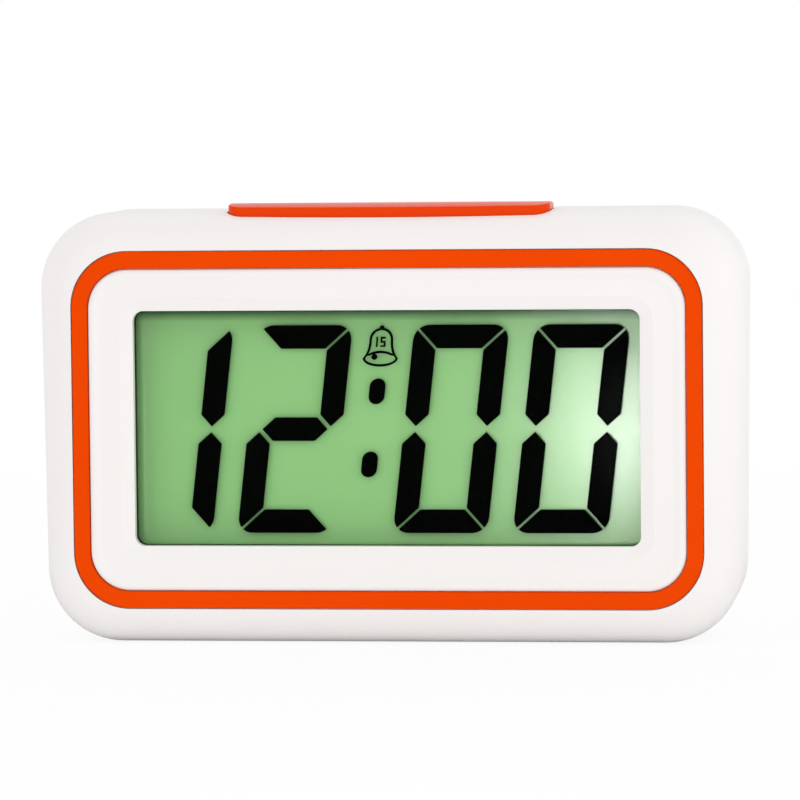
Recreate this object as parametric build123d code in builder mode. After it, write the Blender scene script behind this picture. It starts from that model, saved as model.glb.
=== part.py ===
from build123d import *
import math
import os

# A talking desk clock: a two-shell casing round a liquid-crystal display, a talk
# button on top, four setting buttons, a speaker and two AAA cells at the back.
# Millimetres. +Z is up and the display faces -Y. The origin is the middle of the
# base, under the middle of the whole depth. A "depth" is measured backwards from
# the foremost plane of the casing.

# Casing
casing_width = 129.7  # at half height
casing_height = 79.7
casing_depth = 38.0
side_lean = 0.5  # each side stands this much further out at the top than at half height
casing_corner = 14.0
shoulder_radius = 10.0
back_edge_radius = 7.0
wall = 2.2
face_wall = 2.6
parting_depth = 21.0
tongue_height = 1.6
slip = 0.15  # clearance between pieces that drop into each other
overrun = 1.0  # how far a cutting solid runs past the face that it cuts
bite = 0.3  # how far a boss or rib is rooted in the wall that carries it

# Orange ring and the panel inside it
ring_side_margin = 6.85  # casing outside the ring at each side
ring_top_margin = 7.0
ring_side = 2.96
ring_band = 3.17  # its width along the top and the bottom
ring_corner = 10.3
ring_inner_corner = 7.3
ring_recess = 0.6
ring_back = 1.6
ring_edge_round = 0.25
peg_radius = 0.9
peg_length = 2.0
peg_spacing_share = 0.35  # of the ring's width, from the middle to the outer pegs
rim_flat = 1.3
rim_width = 2.3
rim_round = 1.0
panel_drop = 0.22

# Window in the panel
panel_side = 8.39  # panel between the ring and the window
panel_band = 8.03
window_corner = 1.9
window_rise = 0.27  # middle of the window above the middle of the casing
window_slope_width = 2.4
window_slope_drop = 0.6
lens_margin = 2.0  # lens hidden behind the panel, each side
lens_corner = 2.5
lens_thickness = 1.5
collar_wall = 1.2

# Liquid-crystal stack, front to back
gasket_thickness = 0.8
polarizer_thickness = 0.2
polarizer_margin = 0.5  # glass left bare round the polarizer
glass_side_margin = 2.35  # glass hidden beside the window
glass_top_margin = 2.75
glass_low_margin = 1.95
glass_ledge = 3.0  # front glass below the rear one, where the contacts are
glass_thickness = 0.9
ink_thickness = 0.1  # the liquid-crystal layer between the glasses
seal_width = 1.2
reflector_thickness = 0.3
reflector_margin = 0.8
lcd_frame_side = 2.2
lcd_frame_lip = 2.8  # how far the frame reaches in behind the glass
lcd_frame_depth = 5.8
connector_thickness = 1.8

# Digits
digit_space = 4.62  # between neighbouring digits
digit_margin = 2.475  # window above and below the digits
digit_stroke = 4.35
digit_gap = 0.45
digit_tip_gap = 0.52
digit_corner = 2.9
digit_slant = 0.115  # sideways per height
colon_space = 6.78  # extra pitch across the colon
digits_left_margin = 11.45  # window left of the first digit's stroke
digits_right_margin = 4.27
digits_drop = 0.22  # middle of the digits below the middle of the casing
dot_width = 2.95
dot_height = 4.75
dot_spacing = 13.46
colon_shift = 0.08  # from half way between its neighbours
bell_shift = 1.4
bell_z = 11.28  # foot of the bell above the middle of the casing
bell_width = 6.5  # across the mouth
bell_crown = 7.16
bell_mouth = 1.56  # height of the mouth's tips above the foot
bell_dome_radius = 2.2
bell_stroke = 0.46
bell_knob_radius = 0.45
bell_clapper_radius = 0.55
bell_slant = 0.07
numeral_height = 1.9
numeral_width = 0.95
numeral_stroke = 0.34
numeral_base = 3.6

# Talk button
talk_side_margin = 35.05  # casing beside the button
talk_back_margin = 2.8  # casing between the button and the parting
talk_corner = 2.9
talk_bow = 0.6  # front edge forward of its ends
talk_front = 6.2
talk_gap = 0.25
talk_wall = 1.5
talk_ceiling = 1.6
talk_front_rise = 0.68  # front edge above the casing
talk_crest_place = 4.6  # behind the front edge
talk_crest_rise = 1.4
talk_back_rise = 0.6
talk_edge_round = 0.3
talk_skirt = 4.3  # skirt below the top of the casing
talk_travel = 1.2
talk_tab = 1.5
talk_tab_thickness = 1.3
talk_tab_width = 5.0
tab_play = 0.1
plunger_radius = 2.4
post_radius = 1.1
post_length = 2.5
talk_spring_inset = 9.8  # from the ends of the button
talk_spring_radius = 2.0
talk_spring_wire = 0.5
talk_spring_turns = 4

# Talk contact board
talk_board_reach = 10.2  # beyond each end of the button
talk_board_depth = 10.0
talk_board_drop = 6.8  # its upper face below the top of the casing
talk_board_hole_inset = 3.5
dome_base_radius = 5.0
dome_base_thickness = 0.8
dome_radius = 3.8
dome_top_radius = 2.6
dome_height = 2.5
dome_play = 0.1

# Circuit boards and their fixings
board_thickness = 1.2
board_side_margin = 1.5  # board beyond the glass
board_top_margin = 5.6
board_low_margin = 4.9
board_hole_radius = 1.2
board_boss_inset = 5.0  # inside the glass's ends
board_boss_above = 3.25  # above the glass
board_boss_below = 3.0
board_boss_radius = 2.2
small_pilot_radius = 0.9
small_screw_radius = 0.85
small_screw_length = 4.6
small_head_radius = 1.9
small_head_height = 1.2
drive_slot_width = 0.6
drive_slot_depth = 0.5

# Casing screws
casing_screw_inset = 9.35  # from the sides
casing_screw_low = 11.5
casing_screw_drop = 11.7  # of the upper screws below the top
casing_boss_radius = 3.5
casing_well_radius = 3.1
casing_well_wall = 1.1
casing_well_floor = 2.0
casing_pilot_radius = 1.35
casing_screw_radius = 1.3
casing_screw_length = 13.0
casing_hole_radius = 1.5
casing_head_radius = 2.6
casing_head_height = 1.8

# Setting buttons on the back
key_count = 4
key_pitch = 18.0
key_drop = 15.7  # below the top of the casing
key_width = 9.0
key_height = 5.0
key_corner = 1.5
key_gap = 0.2
key_proud = 0.8
key_flange = 1.25
key_flange_thickness = 1.0
key_travel = 0.8
key_edge_round = 0.4
keypad_thickness = 0.8
keypad_height = 11.0
keypad_margin = 7.0
keypad_dome_radius = 2.8
keypad_dome_top = 2.0
keypad_dome_height = 1.8
key_board_height = 12.0
key_board_margin = 3.0
key_boss_space = 12.0  # beyond the outer buttons
key_boss_radius = 2.2

# Speaker
speaker_side = 31.85  # middle of the speaker from the side of the casing
speaker_z = 33.0
speaker_radius = 18.0
speaker_rim = 1.6
speaker_rim_thickness = 1.0
basket_neck_radius = 12.6
basket_depth = 3.7
basket_sheet = 0.6
magnet_radius = 8.0
magnet_thickness = 4.0
cone_edge = 0.5
cone_sheet = 0.3
cone_dip = 1.6
cone_cap_radius = 5.0
speaker_gasket_thickness = 0.6
speaker_collar_wall = 1.5
clamp_thickness = 1.0
clamp_lap = 1.2
clamp_ear_radius = 4.0
clamp_screw_offset = 22.7
clamp_boss_radius = 2.4
clamp_screw_count = 3
clamp_angle = 30  # degrees from +X to the first screw
terminal_width = 8.0
terminal_height = 3.4
terminal_thickness = 0.8
grille_hole_radius = 1.1
grille_ring_step = 4.5
grille_rings = 3
grille_first_ring = 6  # holes in the innermost ring

# Battery bay and door
cell_radius = 5.25
cell_length = 44.5
cell_nub_radius = 1.9
cell_nub_length = 1.0
cell_edge_round = 0.6
cell_gap = 0.6
cell_side_play = 0.3
cell_floor_play = 0.3
contact_space = 5.7  # room for the compressed spring
plate_thickness = 0.4
plate_width = 8.4
plate_tab_width = 2.0
plate_tab_length = 3.2
plate_slot_play = 0.2
bay_space = 2.35  # between the bay and the speaker's collar
bay_z = 22.0
bay_wall = 1.5
bay_depth = 14.3
battery_spring_base = 3.4
battery_spring_tip = 2.3
battery_spring_wire = 0.7
battery_spring_turns = 4
door_thickness = 2.2
door_gap = 0.25
hinge_roll_radius = 1.7
hinge_pin_radius = 0.9
hinge_hole_radius = 0.95
hinge_pin_length = 0.9
door_stop_width = 8.0
door_stop_height = 1.2
door_stop_thickness = 1.4
door_stop_play = 0.2
latch_width = 12.0
latch_reach = 2.2
latch_sheet = 1.0
grip_count = 5
grip_pitch = 2.0
grip_width = 14.0
grip_height = 0.8
grip_proud = 0.3

# Wires
wire_radius = 0.5
fine_wire_radius = 0.35
talk_wire_space = 4.0
talk_wire_drop = 4.0  # their lower ends below the top of the main board
key_wire_count = 5
key_wire_space = 1.8
key_wire_drop = 10.0
speaker_wire_rise = 4.0
battery_wire_shift = 8.0

# Places on the main board, as shares of its width and height from its middle
clock_chip_share = (-0.02, 0.02)
voice_chip_share = (-0.26, 0.24)
crystal_share = (0.14, 0.22)
transistor_share = (0.30, 0.26)
electrolytic_share = (0.42, -0.06)
resistor_shares = ((-0.08, 0.28), (-0.08, 0.20), (0.14, -0.24), (0.14, -0.32))
ceramic_shares = ((0.24, 0.08), (-0.16, 0.14), (0.20, -0.28))
chip_radius = 7.0
voice_chip_radius = 5.5
chip_height = 1.8
chip_round = 1.2
crystal_radius = 1.0
crystal_length = 6.2
resistor_radius = 0.9
resistor_length = 3.6
resistor_stand = 1.3
lead_size = 0.5
lead_reach = 1.2
ceramic_radius = 2.0
ceramic_thickness = 1.4
electrolytic_radius = 2.5
electrolytic_height = 7.0
electrolytic_round = 0.5
transistor_radius = 2.3
transistor_height = 4.5
transistor_stand = 1.5
transistor_flat = 1.5

# Planes and derived places
middle = casing_height / 2
front_y = -(casing_depth + key_proud) / 2
ring_width = casing_width - 2 * ring_side_margin
ring_height = casing_height - 2 * ring_top_margin
window_width = ring_width - 2 * (ring_side + panel_side)
window_height = ring_height - 2 * (ring_band + panel_band)
digit_height = window_height - 2 * digit_margin
digits_run = window_width - digits_left_margin - digits_right_margin - digit_stroke
digit_pitch = (digits_run - colon_space) / 3
digit_width = digit_pitch - digit_space
last_digit_x = window_width / 2 - digits_right_margin - digit_width / 2
colon_middle = last_digit_x - 3 * digit_pitch / 2 - colon_space / 2
colon_x = colon_middle + colon_shift
bell_x = colon_middle + bell_shift
glass_width = window_width + 2 * glass_side_margin
glass_top = window_height / 2 + glass_top_margin
rear_glass_height = window_height + glass_top_margin + glass_low_margin
front_glass_height = rear_glass_height + glass_ledge
board_width = glass_width + 2 * board_side_margin
board_top = glass_top + board_top_margin
board_height = front_glass_height + board_top_margin + board_low_margin
board_boss_x = glass_width / 2 - board_boss_inset
board_boss_top = glass_top + board_boss_above
board_boss_bottom = glass_top - front_glass_height - board_boss_below
talk_width = casing_width - 2 * talk_side_margin
talk_depth = parting_depth - talk_back_margin - talk_front
talk_spring_x = talk_width / 2 - talk_spring_inset
talk_board_width = talk_width + 2 * talk_board_reach
talk_board_hole_x = talk_board_width / 2 - talk_board_hole_inset
casing_screw_x = casing_width / 2 - casing_screw_inset
casing_screw_high = casing_height - casing_screw_drop
key_z = casing_height - key_drop
key_boss_x = (key_count - 1) / 2 * key_pitch + key_boss_space
speaker_x = casing_width / 2 - speaker_side
lens_back = face_wall + lens_thickness
polarizer_front = lens_back + gasket_thickness
front_glass_front = polarizer_front + polarizer_thickness
ink_front = front_glass_front + glass_thickness
rear_glass_front = ink_front + ink_thickness
reflector_front = rear_glass_front + glass_thickness
reflector_back = reflector_front + reflector_thickness
board_front = lens_back + lcd_frame_depth
board_back = board_front + board_thickness
back_wall = casing_depth - wall
lens_width = window_width + 2 * lens_margin
lens_height = window_height + 2 * lens_margin
front_glass_z = glass_top - front_glass_height / 2
rear_glass_z = glass_top - rear_glass_height / 2
connector_z = glass_top - (rear_glass_height + front_glass_height) / 2
board_z = board_top - board_height / 2
talk_y = front_y + talk_front + talk_depth / 2
talk_board_top = casing_height - talk_board_drop
talk_board_low = talk_board_top - board_thickness
talk_roof = casing_height + talk_front_rise - talk_ceiling
dome_top = talk_board_top + dome_height
key_board_back = back_wall - tab_play - key_flange_thickness - dome_play - keypad_dome_height - keypad_thickness
key_board_front = key_board_back - board_thickness
bay_width = cell_length + contact_space + 2 * plate_thickness
bay_height = 4 * cell_radius + cell_gap + 2 * cell_side_play
bay_front = casing_depth - bay_depth
bay_x = speaker_x - speaker_radius - slip - speaker_collar_wall - bay_space - bay_wall - bay_width / 2
bay_left = bay_x - bay_width / 2
bay_right = bay_x + bay_width / 2
cell_depth = bay_front + cell_floor_play + cell_radius
upper_cell_z = bay_z + cell_radius + cell_gap / 2
lower_cell_z = bay_z - cell_radius - cell_gap / 2
door_width = bay_width - 2 * door_gap
door_height = bay_height - 2 * door_gap
hinge_depth = casing_depth - hinge_roll_radius
hinge_z = bay_z - bay_height / 2 + door_gap + hinge_roll_radius
rim_front = back_wall - speaker_gasket_thickness - speaker_rim_thickness

os.makedirs("parts", exist_ok=True)


def facing(depth, x=0, z=middle):
    """Plane that faces the front, at a depth; its x is +X and its y is +Z."""
    return Plane(origin=(x, front_y + depth, z), x_dir=(1, 0, 0), z_dir=(0, -1, 0))


def casing_outline(inset):
    """The casing's front outline, a rounded keystone, drawn in by inset."""
    half = casing_width / 2
    with BuildSketch() as outline:
        Polygon(
            (side_lean - half, -middle),
            (half - side_lean, -middle),
            (half + side_lean, middle),
            (-half - side_lean, middle),
            align=None,
        )
        fillet(outline.vertices(), casing_corner)
        if inset > 0:
            offset(amount=-inset)
    return outline.sketch


def ring_outline(grow):
    """Outer edge of the orange ring, grown by a clearance."""
    with BuildSketch() as outline:
        RectangleRounded(ring_width + 2 * grow, ring_height + 2 * grow, ring_corner + grow)
    return outline.sketch


def ring_hole(shrink):
    """Inner edge of the orange ring, drawn in by a distance."""
    width = ring_width - 2 * (ring_side + shrink)
    height = ring_height - 2 * (ring_band + shrink)
    with BuildSketch() as outline:
        RectangleRounded(width, height, ring_inner_corner - shrink / 2)
    return outline.sketch


def window_outline(grow):
    """Edge of the window in the panel, grown by a distance."""
    with BuildSketch() as outline:
        with Locations((0, window_rise)):
            RectangleRounded(window_width + 2 * grow, window_height + 2 * grow, window_corner + grow)
    return outline.sketch


def talk_outline(grow):
    """Plan of the talk button, bowed along its front edge, grown by a distance."""
    half = talk_width / 2 + grow
    reach = talk_depth / 2 + grow
    with BuildSketch() as outline:
        with BuildLine():
            Polyline((-half, -reach), (-half, reach), (half, reach), (half, -reach))
            ThreePointArc((half, -reach), (0, -reach - talk_bow), (-half, -reach))
        make_face()
        fillet(outline.vertices(), talk_corner + grow)
    return outline.sketch


def board_boss_places():
    """Middles of the main board's four bosses, from the middle of the casing."""
    return [(x, z) for x in (-board_boss_x, board_boss_x) for z in (board_boss_bottom, board_boss_top)]


def casing_screw_places():
    """Middles of the casing screws, from the middle of the casing."""
    heights = (casing_screw_low - middle, casing_screw_high - middle)
    return [(x, z) for x in (-casing_screw_x, casing_screw_x) for z in heights]


def peg_places():
    """Middles of the ring's pegs, on the middle of its band."""
    across = ring_width / 2 - ring_side / 2
    up = ring_height / 2 - ring_band / 2
    out = peg_spacing_share * ring_width
    return [(across, 0), (-across, 0), (out, up), (-out, up), (out, -up), (-out, -up)]


def key_places():
    """Sideways places of the setting buttons, left to right seen from the front."""
    return [(i - (key_count - 1) / 2) * key_pitch for i in range(key_count)]


def screw(head_radius, head_height, shank_radius, shank_length):
    """A pan-head screw along +Z, head uppermost, its seat on the XY plane."""
    with BuildPart() as fastener:
        Cylinder(head_radius, head_height, align=(Align.CENTER, Align.CENTER, Align.MIN))
        fillet(fastener.edges().sort_by(Axis.Z)[-1], head_height / 3)
        Cylinder(shank_radius, shank_length, align=(Align.CENTER, Align.CENTER, Align.MAX))
        with BuildSketch(Plane.XY.offset(head_height)):
            Rectangle(head_radius, drive_slot_width)
            Rectangle(drive_slot_width, head_radius)
        extrude(amount=-drive_slot_depth, mode=Mode.SUBTRACT)
    return fastener.part


def biarc_step(start, start_way, end, end_way):
    """Draws the two tangent arcs that join two points of a winding."""
    span = end - start
    ways = start_way + end_way
    along = span.dot(ways)
    room = 4 - ways.dot(ways)
    reach = (math.sqrt(along**2 + room * span.dot(span)) - along) / room
    joint = (start + start_way * reach + end - end_way * reach) / 2
    first = TangentArc(start, joint, tangent=start_way)
    TangentArc(joint, end, tangent=first % 1)


def coil(base_radius, tip_radius, wire, length, turns):
    """A compression spring along +Z that stands on the XY plane, swept in quarter turns."""
    rise = length - wire
    steps = 4 * turns

    def place(step):
        angle = math.pi / 2 * step
        share = step / steps
        radius = base_radius + (tip_radius - base_radius) * share
        return Vector(radius * math.cos(angle), radius * math.sin(angle), wire / 2 + rise * share)

    def way(step):
        angle = math.pi / 2 * step
        radius = base_radius + (tip_radius - base_radius) * step / steps
        inward = (tip_radius - base_radius) / (steps * math.pi / 2)
        x = inward * math.cos(angle) - radius * math.sin(angle)
        y = inward * math.sin(angle) + radius * math.cos(angle)
        return Vector(x, y, rise / (steps * math.pi / 2)).normalized()

    with BuildPart() as spring:
        with BuildLine() as centre_line:
            lead_in = Line(place(0) - way(0) * wire, place(0))
            for step in range(steps):
                biarc_step(place(step), way(step), place(step + 1), way(step + 1))
            Line(place(steps), place(steps) + way(steps) * wire)
        with BuildSketch(Plane(origin=lead_in @ 0, z_dir=lead_in % 0)):
            Circle(wire / 2)
        sweep(path=centre_line.line)
    apart = min(
        (place(step + 4 * k) - place(step)).length - wire
        for step in range(steps - 3)
        for k in range(1, (steps - step) // 4 + 1)
    )
    print("least gap between the turns of a spring", round(apart, 2))
    return spring.part


def wire_along(points, bends, radius):
    """A wire: straight runs joined by tangent arcs, one bend radius for each corner."""
    with BuildPart() as lead:
        with BuildLine() as route:
            FilletPolyline(*points, radius=bends)
        with BuildSketch(Plane(origin=points[0], z_dir=route.line % 0)):
            Circle(radius)
        sweep(path=route.line)
    return lead.part


# Front shell
with BuildPart() as front_cavity:
    with BuildSketch(facing(face_wall)):
        add(casing_outline(wall))
    extrude(amount=-(parting_depth - face_wall + overrun))
    fillet(front_cavity.faces().sort_by(Axis.Y)[0].edges(), shoulder_radius - face_wall)

with BuildPart() as rim_cut:
    with BuildSketch(facing(0)):
        add(ring_hole(rim_flat))
    with BuildSketch(facing(panel_drop)):
        add(ring_hole(rim_width))
    loft(ruled=True)

with BuildPart() as window_cut:
    with BuildSketch(facing(panel_drop)):
        add(window_outline(window_slope_width))
    with BuildSketch(facing(panel_drop + window_slope_drop)):
        add(window_outline(0))
    loft(ruled=True)

with BuildPart() as front_shell:
    with BuildSketch(facing(0)):
        add(casing_outline(0))
    extrude(amount=-parting_depth)
    fillet(front_shell.faces().sort_by(Axis.Y)[0].edges(), shoulder_radius)
    add(front_cavity.part, mode=Mode.SUBTRACT)
    with BuildSketch(facing(parting_depth - tongue_height - slip)):
        add(casing_outline(wall / 2))
    extrude(amount=-(tongue_height + slip + overrun), mode=Mode.SUBTRACT)
    # Groove for the ring and rounded edge of the panel inside it
    with BuildSketch(facing(-overrun)):
        add(ring_outline(slip))
        add(ring_hole(slip), mode=Mode.SUBTRACT)
    extrude(amount=-(overrun + ring_back), mode=Mode.SUBTRACT)
    fillet(front_shell.faces().sort_by(Axis.Y)[0].outer_wire().edges(), rim_round)
    add(rim_cut.part, mode=Mode.SUBTRACT)
    add(window_cut.part, mode=Mode.SUBTRACT)
    with BuildSketch(facing(0)):
        add(window_outline(0))
    extrude(amount=-(face_wall + overrun), mode=Mode.SUBTRACT)
    with BuildSketch(facing(0)):
        with Locations(*peg_places()):
            Circle(peg_radius + slip)
    extrude(amount=-(ring_back + peg_length + overrun), mode=Mode.SUBTRACT)
    # Collar round the lens
    with BuildSketch(facing(face_wall - bite)):
        margin = slip + collar_wall
        RectangleRounded(lens_width + 2 * margin, lens_height + 2 * margin, lens_corner + margin)
        RectangleRounded(lens_width + 2 * slip, lens_height + 2 * slip, lens_corner + slip, mode=Mode.SUBTRACT)
    extrude(amount=-(lens_thickness + bite))
    # Bosses for the casing screws and the main board
    with BuildSketch(facing(face_wall - bite)):
        with Locations(*casing_screw_places()):
            Circle(casing_boss_radius)
    extrude(amount=-(parting_depth - face_wall + bite))
    with BuildSketch(facing(face_wall - bite)):
        with Locations(*board_boss_places()):
            Circle(board_boss_radius)
    extrude(amount=-(board_front - face_wall + bite))
    with BuildSketch(facing(parting_depth)):
        with Locations(*casing_screw_places()):
            Circle(casing_pilot_radius)
    extrude(amount=casing_screw_length - casing_well_floor + overrun / 2, mode=Mode.SUBTRACT)
    with BuildSketch(facing(board_front)):
        with Locations(*board_boss_places()):
            Circle(small_pilot_radius)
    extrude(amount=small_screw_length - board_thickness + overrun / 2, mode=Mode.SUBTRACT)
    # Slot for the talk button and the bosses that its contact board hangs from
    with BuildSketch(Plane.XY.offset(casing_height + overrun)):
        with Locations((0, talk_y)):
            add(talk_outline(talk_gap))
    extrude(amount=-(talk_skirt + 2 * overrun), mode=Mode.SUBTRACT)
    with BuildSketch(Plane.XY.offset(talk_board_top)):
        with Locations((talk_board_hole_x, talk_y), (-talk_board_hole_x, talk_y)):
            Circle(board_boss_radius)
    extrude(amount=casing_height - wall - talk_board_top + bite)
    with BuildSketch(Plane.XY.offset(talk_board_top)):
        with Locations((talk_board_hole_x, talk_y), (-talk_board_hole_x, talk_y)):
            Circle(small_pilot_radius)
    extrude(amount=small_screw_length - board_thickness + overrun / 2, mode=Mode.SUBTRACT)
front_shell.part.label = "front_shell"
export_step(front_shell.part, "parts/front_shell.step")

# Orange ring, pegged into its groove
with BuildPart() as trim_ring:
    with BuildSketch(facing(ring_recess)):
        add(ring_outline(0))
        add(ring_hole(0), mode=Mode.SUBTRACT)
    extrude(amount=-(ring_back - ring_recess))
    fillet(trim_ring.faces().sort_by(Axis.Y)[0].edges(), ring_edge_round)
    with BuildSketch(facing(ring_back)):
        with Locations(*peg_places()):
            Circle(peg_radius)
    extrude(amount=-peg_length)
trim_ring.part.label = "trim_ring"
export_step(trim_ring.part, "parts/trim_ring.step")

# Clear window
with BuildPart() as display_window:
    with BuildSketch(facing(face_wall)):
        RectangleRounded(lens_width, lens_height, lens_corner)
    extrude(amount=-lens_thickness)
display_window.part.label = "display_window"
export_step(display_window.part, "parts/display_window.step")

# Liquid-crystal display
with BuildPart() as lcd_gasket:
    with BuildSketch(facing(lens_back)):
        RectangleRounded(lens_width - 2 * slip, lens_height - 2 * slip, lens_corner)
        add(window_outline(slip), mode=Mode.SUBTRACT)
    extrude(amount=-gasket_thickness)
lcd_gasket.part.label = "lcd_gasket"
export_step(lcd_gasket.part, "parts/lcd_gasket.step")

with BuildPart() as lcd_front_polarizer:
    with BuildSketch(facing(polarizer_front, z=middle + rear_glass_z)):
        Rectangle(glass_width - 2 * polarizer_margin, rear_glass_height - 2 * polarizer_margin)
    extrude(amount=-polarizer_thickness)
lcd_front_polarizer.part.label = "lcd_front_polarizer"
export_step(lcd_front_polarizer.part, "parts/lcd_front_polarizer.step")

with BuildPart() as lcd_front_glass:
    with BuildSketch(facing(front_glass_front, z=middle + front_glass_z)):
        Rectangle(glass_width, front_glass_height)
    extrude(amount=-glass_thickness)
lcd_front_glass.part.label = "lcd_front_glass"
export_step(lcd_front_glass.part, "parts/lcd_front_glass.step")

with BuildPart() as lcd_seal:
    with BuildSketch(facing(ink_front, z=middle + rear_glass_z)):
        Rectangle(glass_width, rear_glass_height)
        Rectangle(glass_width - 2 * seal_width, rear_glass_height - 2 * seal_width, mode=Mode.SUBTRACT)
    extrude(amount=-ink_thickness)
lcd_seal.part.label = "lcd_seal"
export_step(lcd_seal.part, "parts/lcd_seal.step")

with BuildPart() as lcd_rear_glass:
    with BuildSketch(facing(rear_glass_front, z=middle + rear_glass_z)):
        Rectangle(glass_width, rear_glass_height)
    extrude(amount=-glass_thickness)
lcd_rear_glass.part.label = "lcd_rear_glass"
export_step(lcd_rear_glass.part, "parts/lcd_rear_glass.step")

with BuildPart() as lcd_reflector:
    with BuildSketch(facing(reflector_front, z=middle + rear_glass_z)):
        Rectangle(glass_width - 2 * reflector_margin, rear_glass_height - 2 * reflector_margin)
    extrude(amount=-reflector_thickness)
lcd_reflector.part.label = "lcd_reflector"
export_step(lcd_reflector.part, "parts/lcd_reflector.step")


def upright_segment(side, end):
    """Points of a standing segment: side is 1 right or -1 left, end is 1 upper or -1 lower."""
    outer = digit_width / 2
    inner = outer - digit_stroke
    half_stroke = digit_stroke / 2
    mitre = digit_gap / math.sqrt(2)
    top = digit_height / 2 - mitre
    shoulder = digit_tip_gap + half_stroke
    points = (
        (outer - half_stroke, digit_tip_gap),
        (inner, shoulder),
        (inner, top - digit_stroke),
        (outer, top),
        (outer, shoulder),
    )
    return [(side * u, end * v) for u, v in points]


def level_segment(end):
    """Points of the top (1) or bottom (-1) segment."""
    mitre = digit_gap / math.sqrt(2)
    outer = digit_width / 2 - mitre
    top = digit_height / 2
    points = (
        (-outer, top),
        (outer, top),
        (outer - digit_stroke, top - digit_stroke),
        (digit_stroke - outer, top - digit_stroke),
    )
    return [(u, end * v) for u, v in points]


def middle_segment():
    """Points of the bar across the middle."""
    half_stroke = digit_stroke / 2
    tip = digit_width / 2 - half_stroke - digit_tip_gap
    return [
        (-tip, 0),
        (half_stroke - tip, half_stroke),
        (tip - half_stroke, half_stroke),
        (tip, 0),
        (tip - half_stroke, -half_stroke),
        (half_stroke - tip, -half_stroke),
    ]


segments = {
    "a": level_segment(1),
    "b": upright_segment(1, 1),
    "c": upright_segment(1, -1),
    "d": level_segment(-1),
    "e": upright_segment(-1, -1),
    "f": upright_segment(-1, 1),
    "g": middle_segment(),
}
lit_segments = ("bc", "abged", "abcdef", "abcdef")
digit_steps = (3 * digit_pitch + colon_space, 2 * digit_pitch + colon_space, digit_pitch, 0)
lean_over = Matrix([[1, 0, digit_slant, 0], [0, 1, 0, 0], [0, 0, 1, 0], [0, 0, 0, 1]])

# Lit segments of the digits, drawn upright about the origin and then leaned over
for name, first in (("lcd_hour_digits", 0), ("lcd_minute_digits", 2)):
    with BuildPart() as digits:
        for place in (first, first + 1):
            with BuildSketch(facing(ink_front, x=last_digit_x - digit_steps[place], z=0)):
                for letter in lit_segments[place]:
                    Polygon(*segments[letter], align=None)
                RectangleRounded(digit_width, digit_height, digit_corner, mode=Mode.INTERSECT)
            extrude(amount=-ink_thickness)
    leaning = digits.part.transform_geometry(lean_over).moved(Pos(0, 0, middle - digits_drop))
    with BuildPart() as lcd_digits:
        add(leaning)
    lcd_digits.part.label = name
    export_step(lcd_digits.part, f"parts/{name}.step")

with BuildPart() as upright_dots:
    with BuildSketch(facing(ink_front, x=colon_x, z=0)):
        with Locations((0, dot_spacing / 2), (0, -dot_spacing / 2)):
            SlotOverall(dot_height, dot_width, rotation=90)
    extrude(amount=-ink_thickness)
with BuildPart() as lcd_colon:
    add(upright_dots.part.transform_geometry(lean_over).moved(Pos(0, 0, middle)))
lcd_colon.part.label = "lcd_colon"
export_step(lcd_colon.part, "parts/lcd_colon.step")


def bell_outline(inset):
    """Outline of the bell symbol, its foot at y = 0, drawn in by inset."""
    tip = bell_width / 2 - inset
    dome = bell_dome_radius - inset
    shoulder = bell_crown - bell_dome_radius
    flare = (bell_width / 2 - bell_dome_radius) / 3
    waist = bell_mouth + (shoulder - bell_mouth) / 3
    with BuildSketch() as outline:
        with BuildLine():
            Spline((tip, bell_mouth), (dome + flare, waist), (dome, shoulder), tangents=((-1, 1), (0, 1)))
            CenterArc((0, shoulder), dome, 0, 180)
            Spline((-dome, shoulder), (-dome - flare, waist), (-tip, bell_mouth), tangents=((0, -1), (-1, -1)))
            EllipticalCenterArc((0, bell_mouth), tip, bell_mouth - inset, start_angle=180, arc_size=180)
        make_face()
    return outline.sketch


def bell_brow(drop):
    """Line across the bell above its mouth, lowered by drop."""
    with BuildSketch() as outline:
        with BuildLine():
            end = bell_width / 2 - bell_stroke
            low = bell_mouth + bell_stroke - drop
            brow = ThreePointArc((end, low), (0, bell_mouth + bell_knob_radius + bell_stroke * 2 - drop), (-end, low))
            Line(brow @ 1, brow @ 0)
        make_face()
    return outline.sketch


# Alarm symbol: a plain bell with its mouth, clapper and two numerals
with BuildPart() as upright_bell:
    with BuildSketch(facing(ink_front, x=bell_x, z=0)):
        add(bell_outline(0))
        add(bell_outline(bell_stroke), mode=Mode.SUBTRACT)
        add(bell_brow(0))
        add(bell_brow(bell_stroke), mode=Mode.SUBTRACT)
        with Locations((0, bell_crown)):
            Circle(bell_knob_radius)
        with Locations((-bell_dome_radius / 2, bell_mouth + bell_stroke / 2)):
            Circle(bell_clapper_radius)
    extrude(amount=-ink_thickness)
    with BuildSketch(facing(ink_front, x=bell_x, z=numeral_base)):
        with Locations((-numeral_width + numeral_stroke / 2, numeral_height / 2)):
            Rectangle(numeral_stroke, numeral_height)
        with Locations((numeral_stroke, 0)):
            for level in (0, 1, 2):
                with Locations((0, level * (numeral_height - numeral_stroke) / 2)):
                    Rectangle(numeral_width, numeral_stroke, align=(Align.CENTER, Align.MIN))
            with Locations((-numeral_width / 2, numeral_height)):
                Rectangle(numeral_stroke, numeral_height / 2, align=(Align.MIN, Align.MAX))
            with Locations((numeral_width / 2, 0)):
                Rectangle(numeral_stroke, numeral_height / 2, align=(Align.MAX, Align.MIN))
    extrude(amount=-ink_thickness)
lean_bell = Matrix([[1, 0, bell_slant, 0], [0, 1, 0, 0], [0, 0, 1, 0], [0, 0, 0, 1]])
with BuildPart() as lcd_alarm_symbol:
    add(upright_bell.part.transform_geometry(lean_bell).moved(Pos(0, 0, middle + bell_z)))
lcd_alarm_symbol.part.label = "lcd_alarm_symbol"
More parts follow.
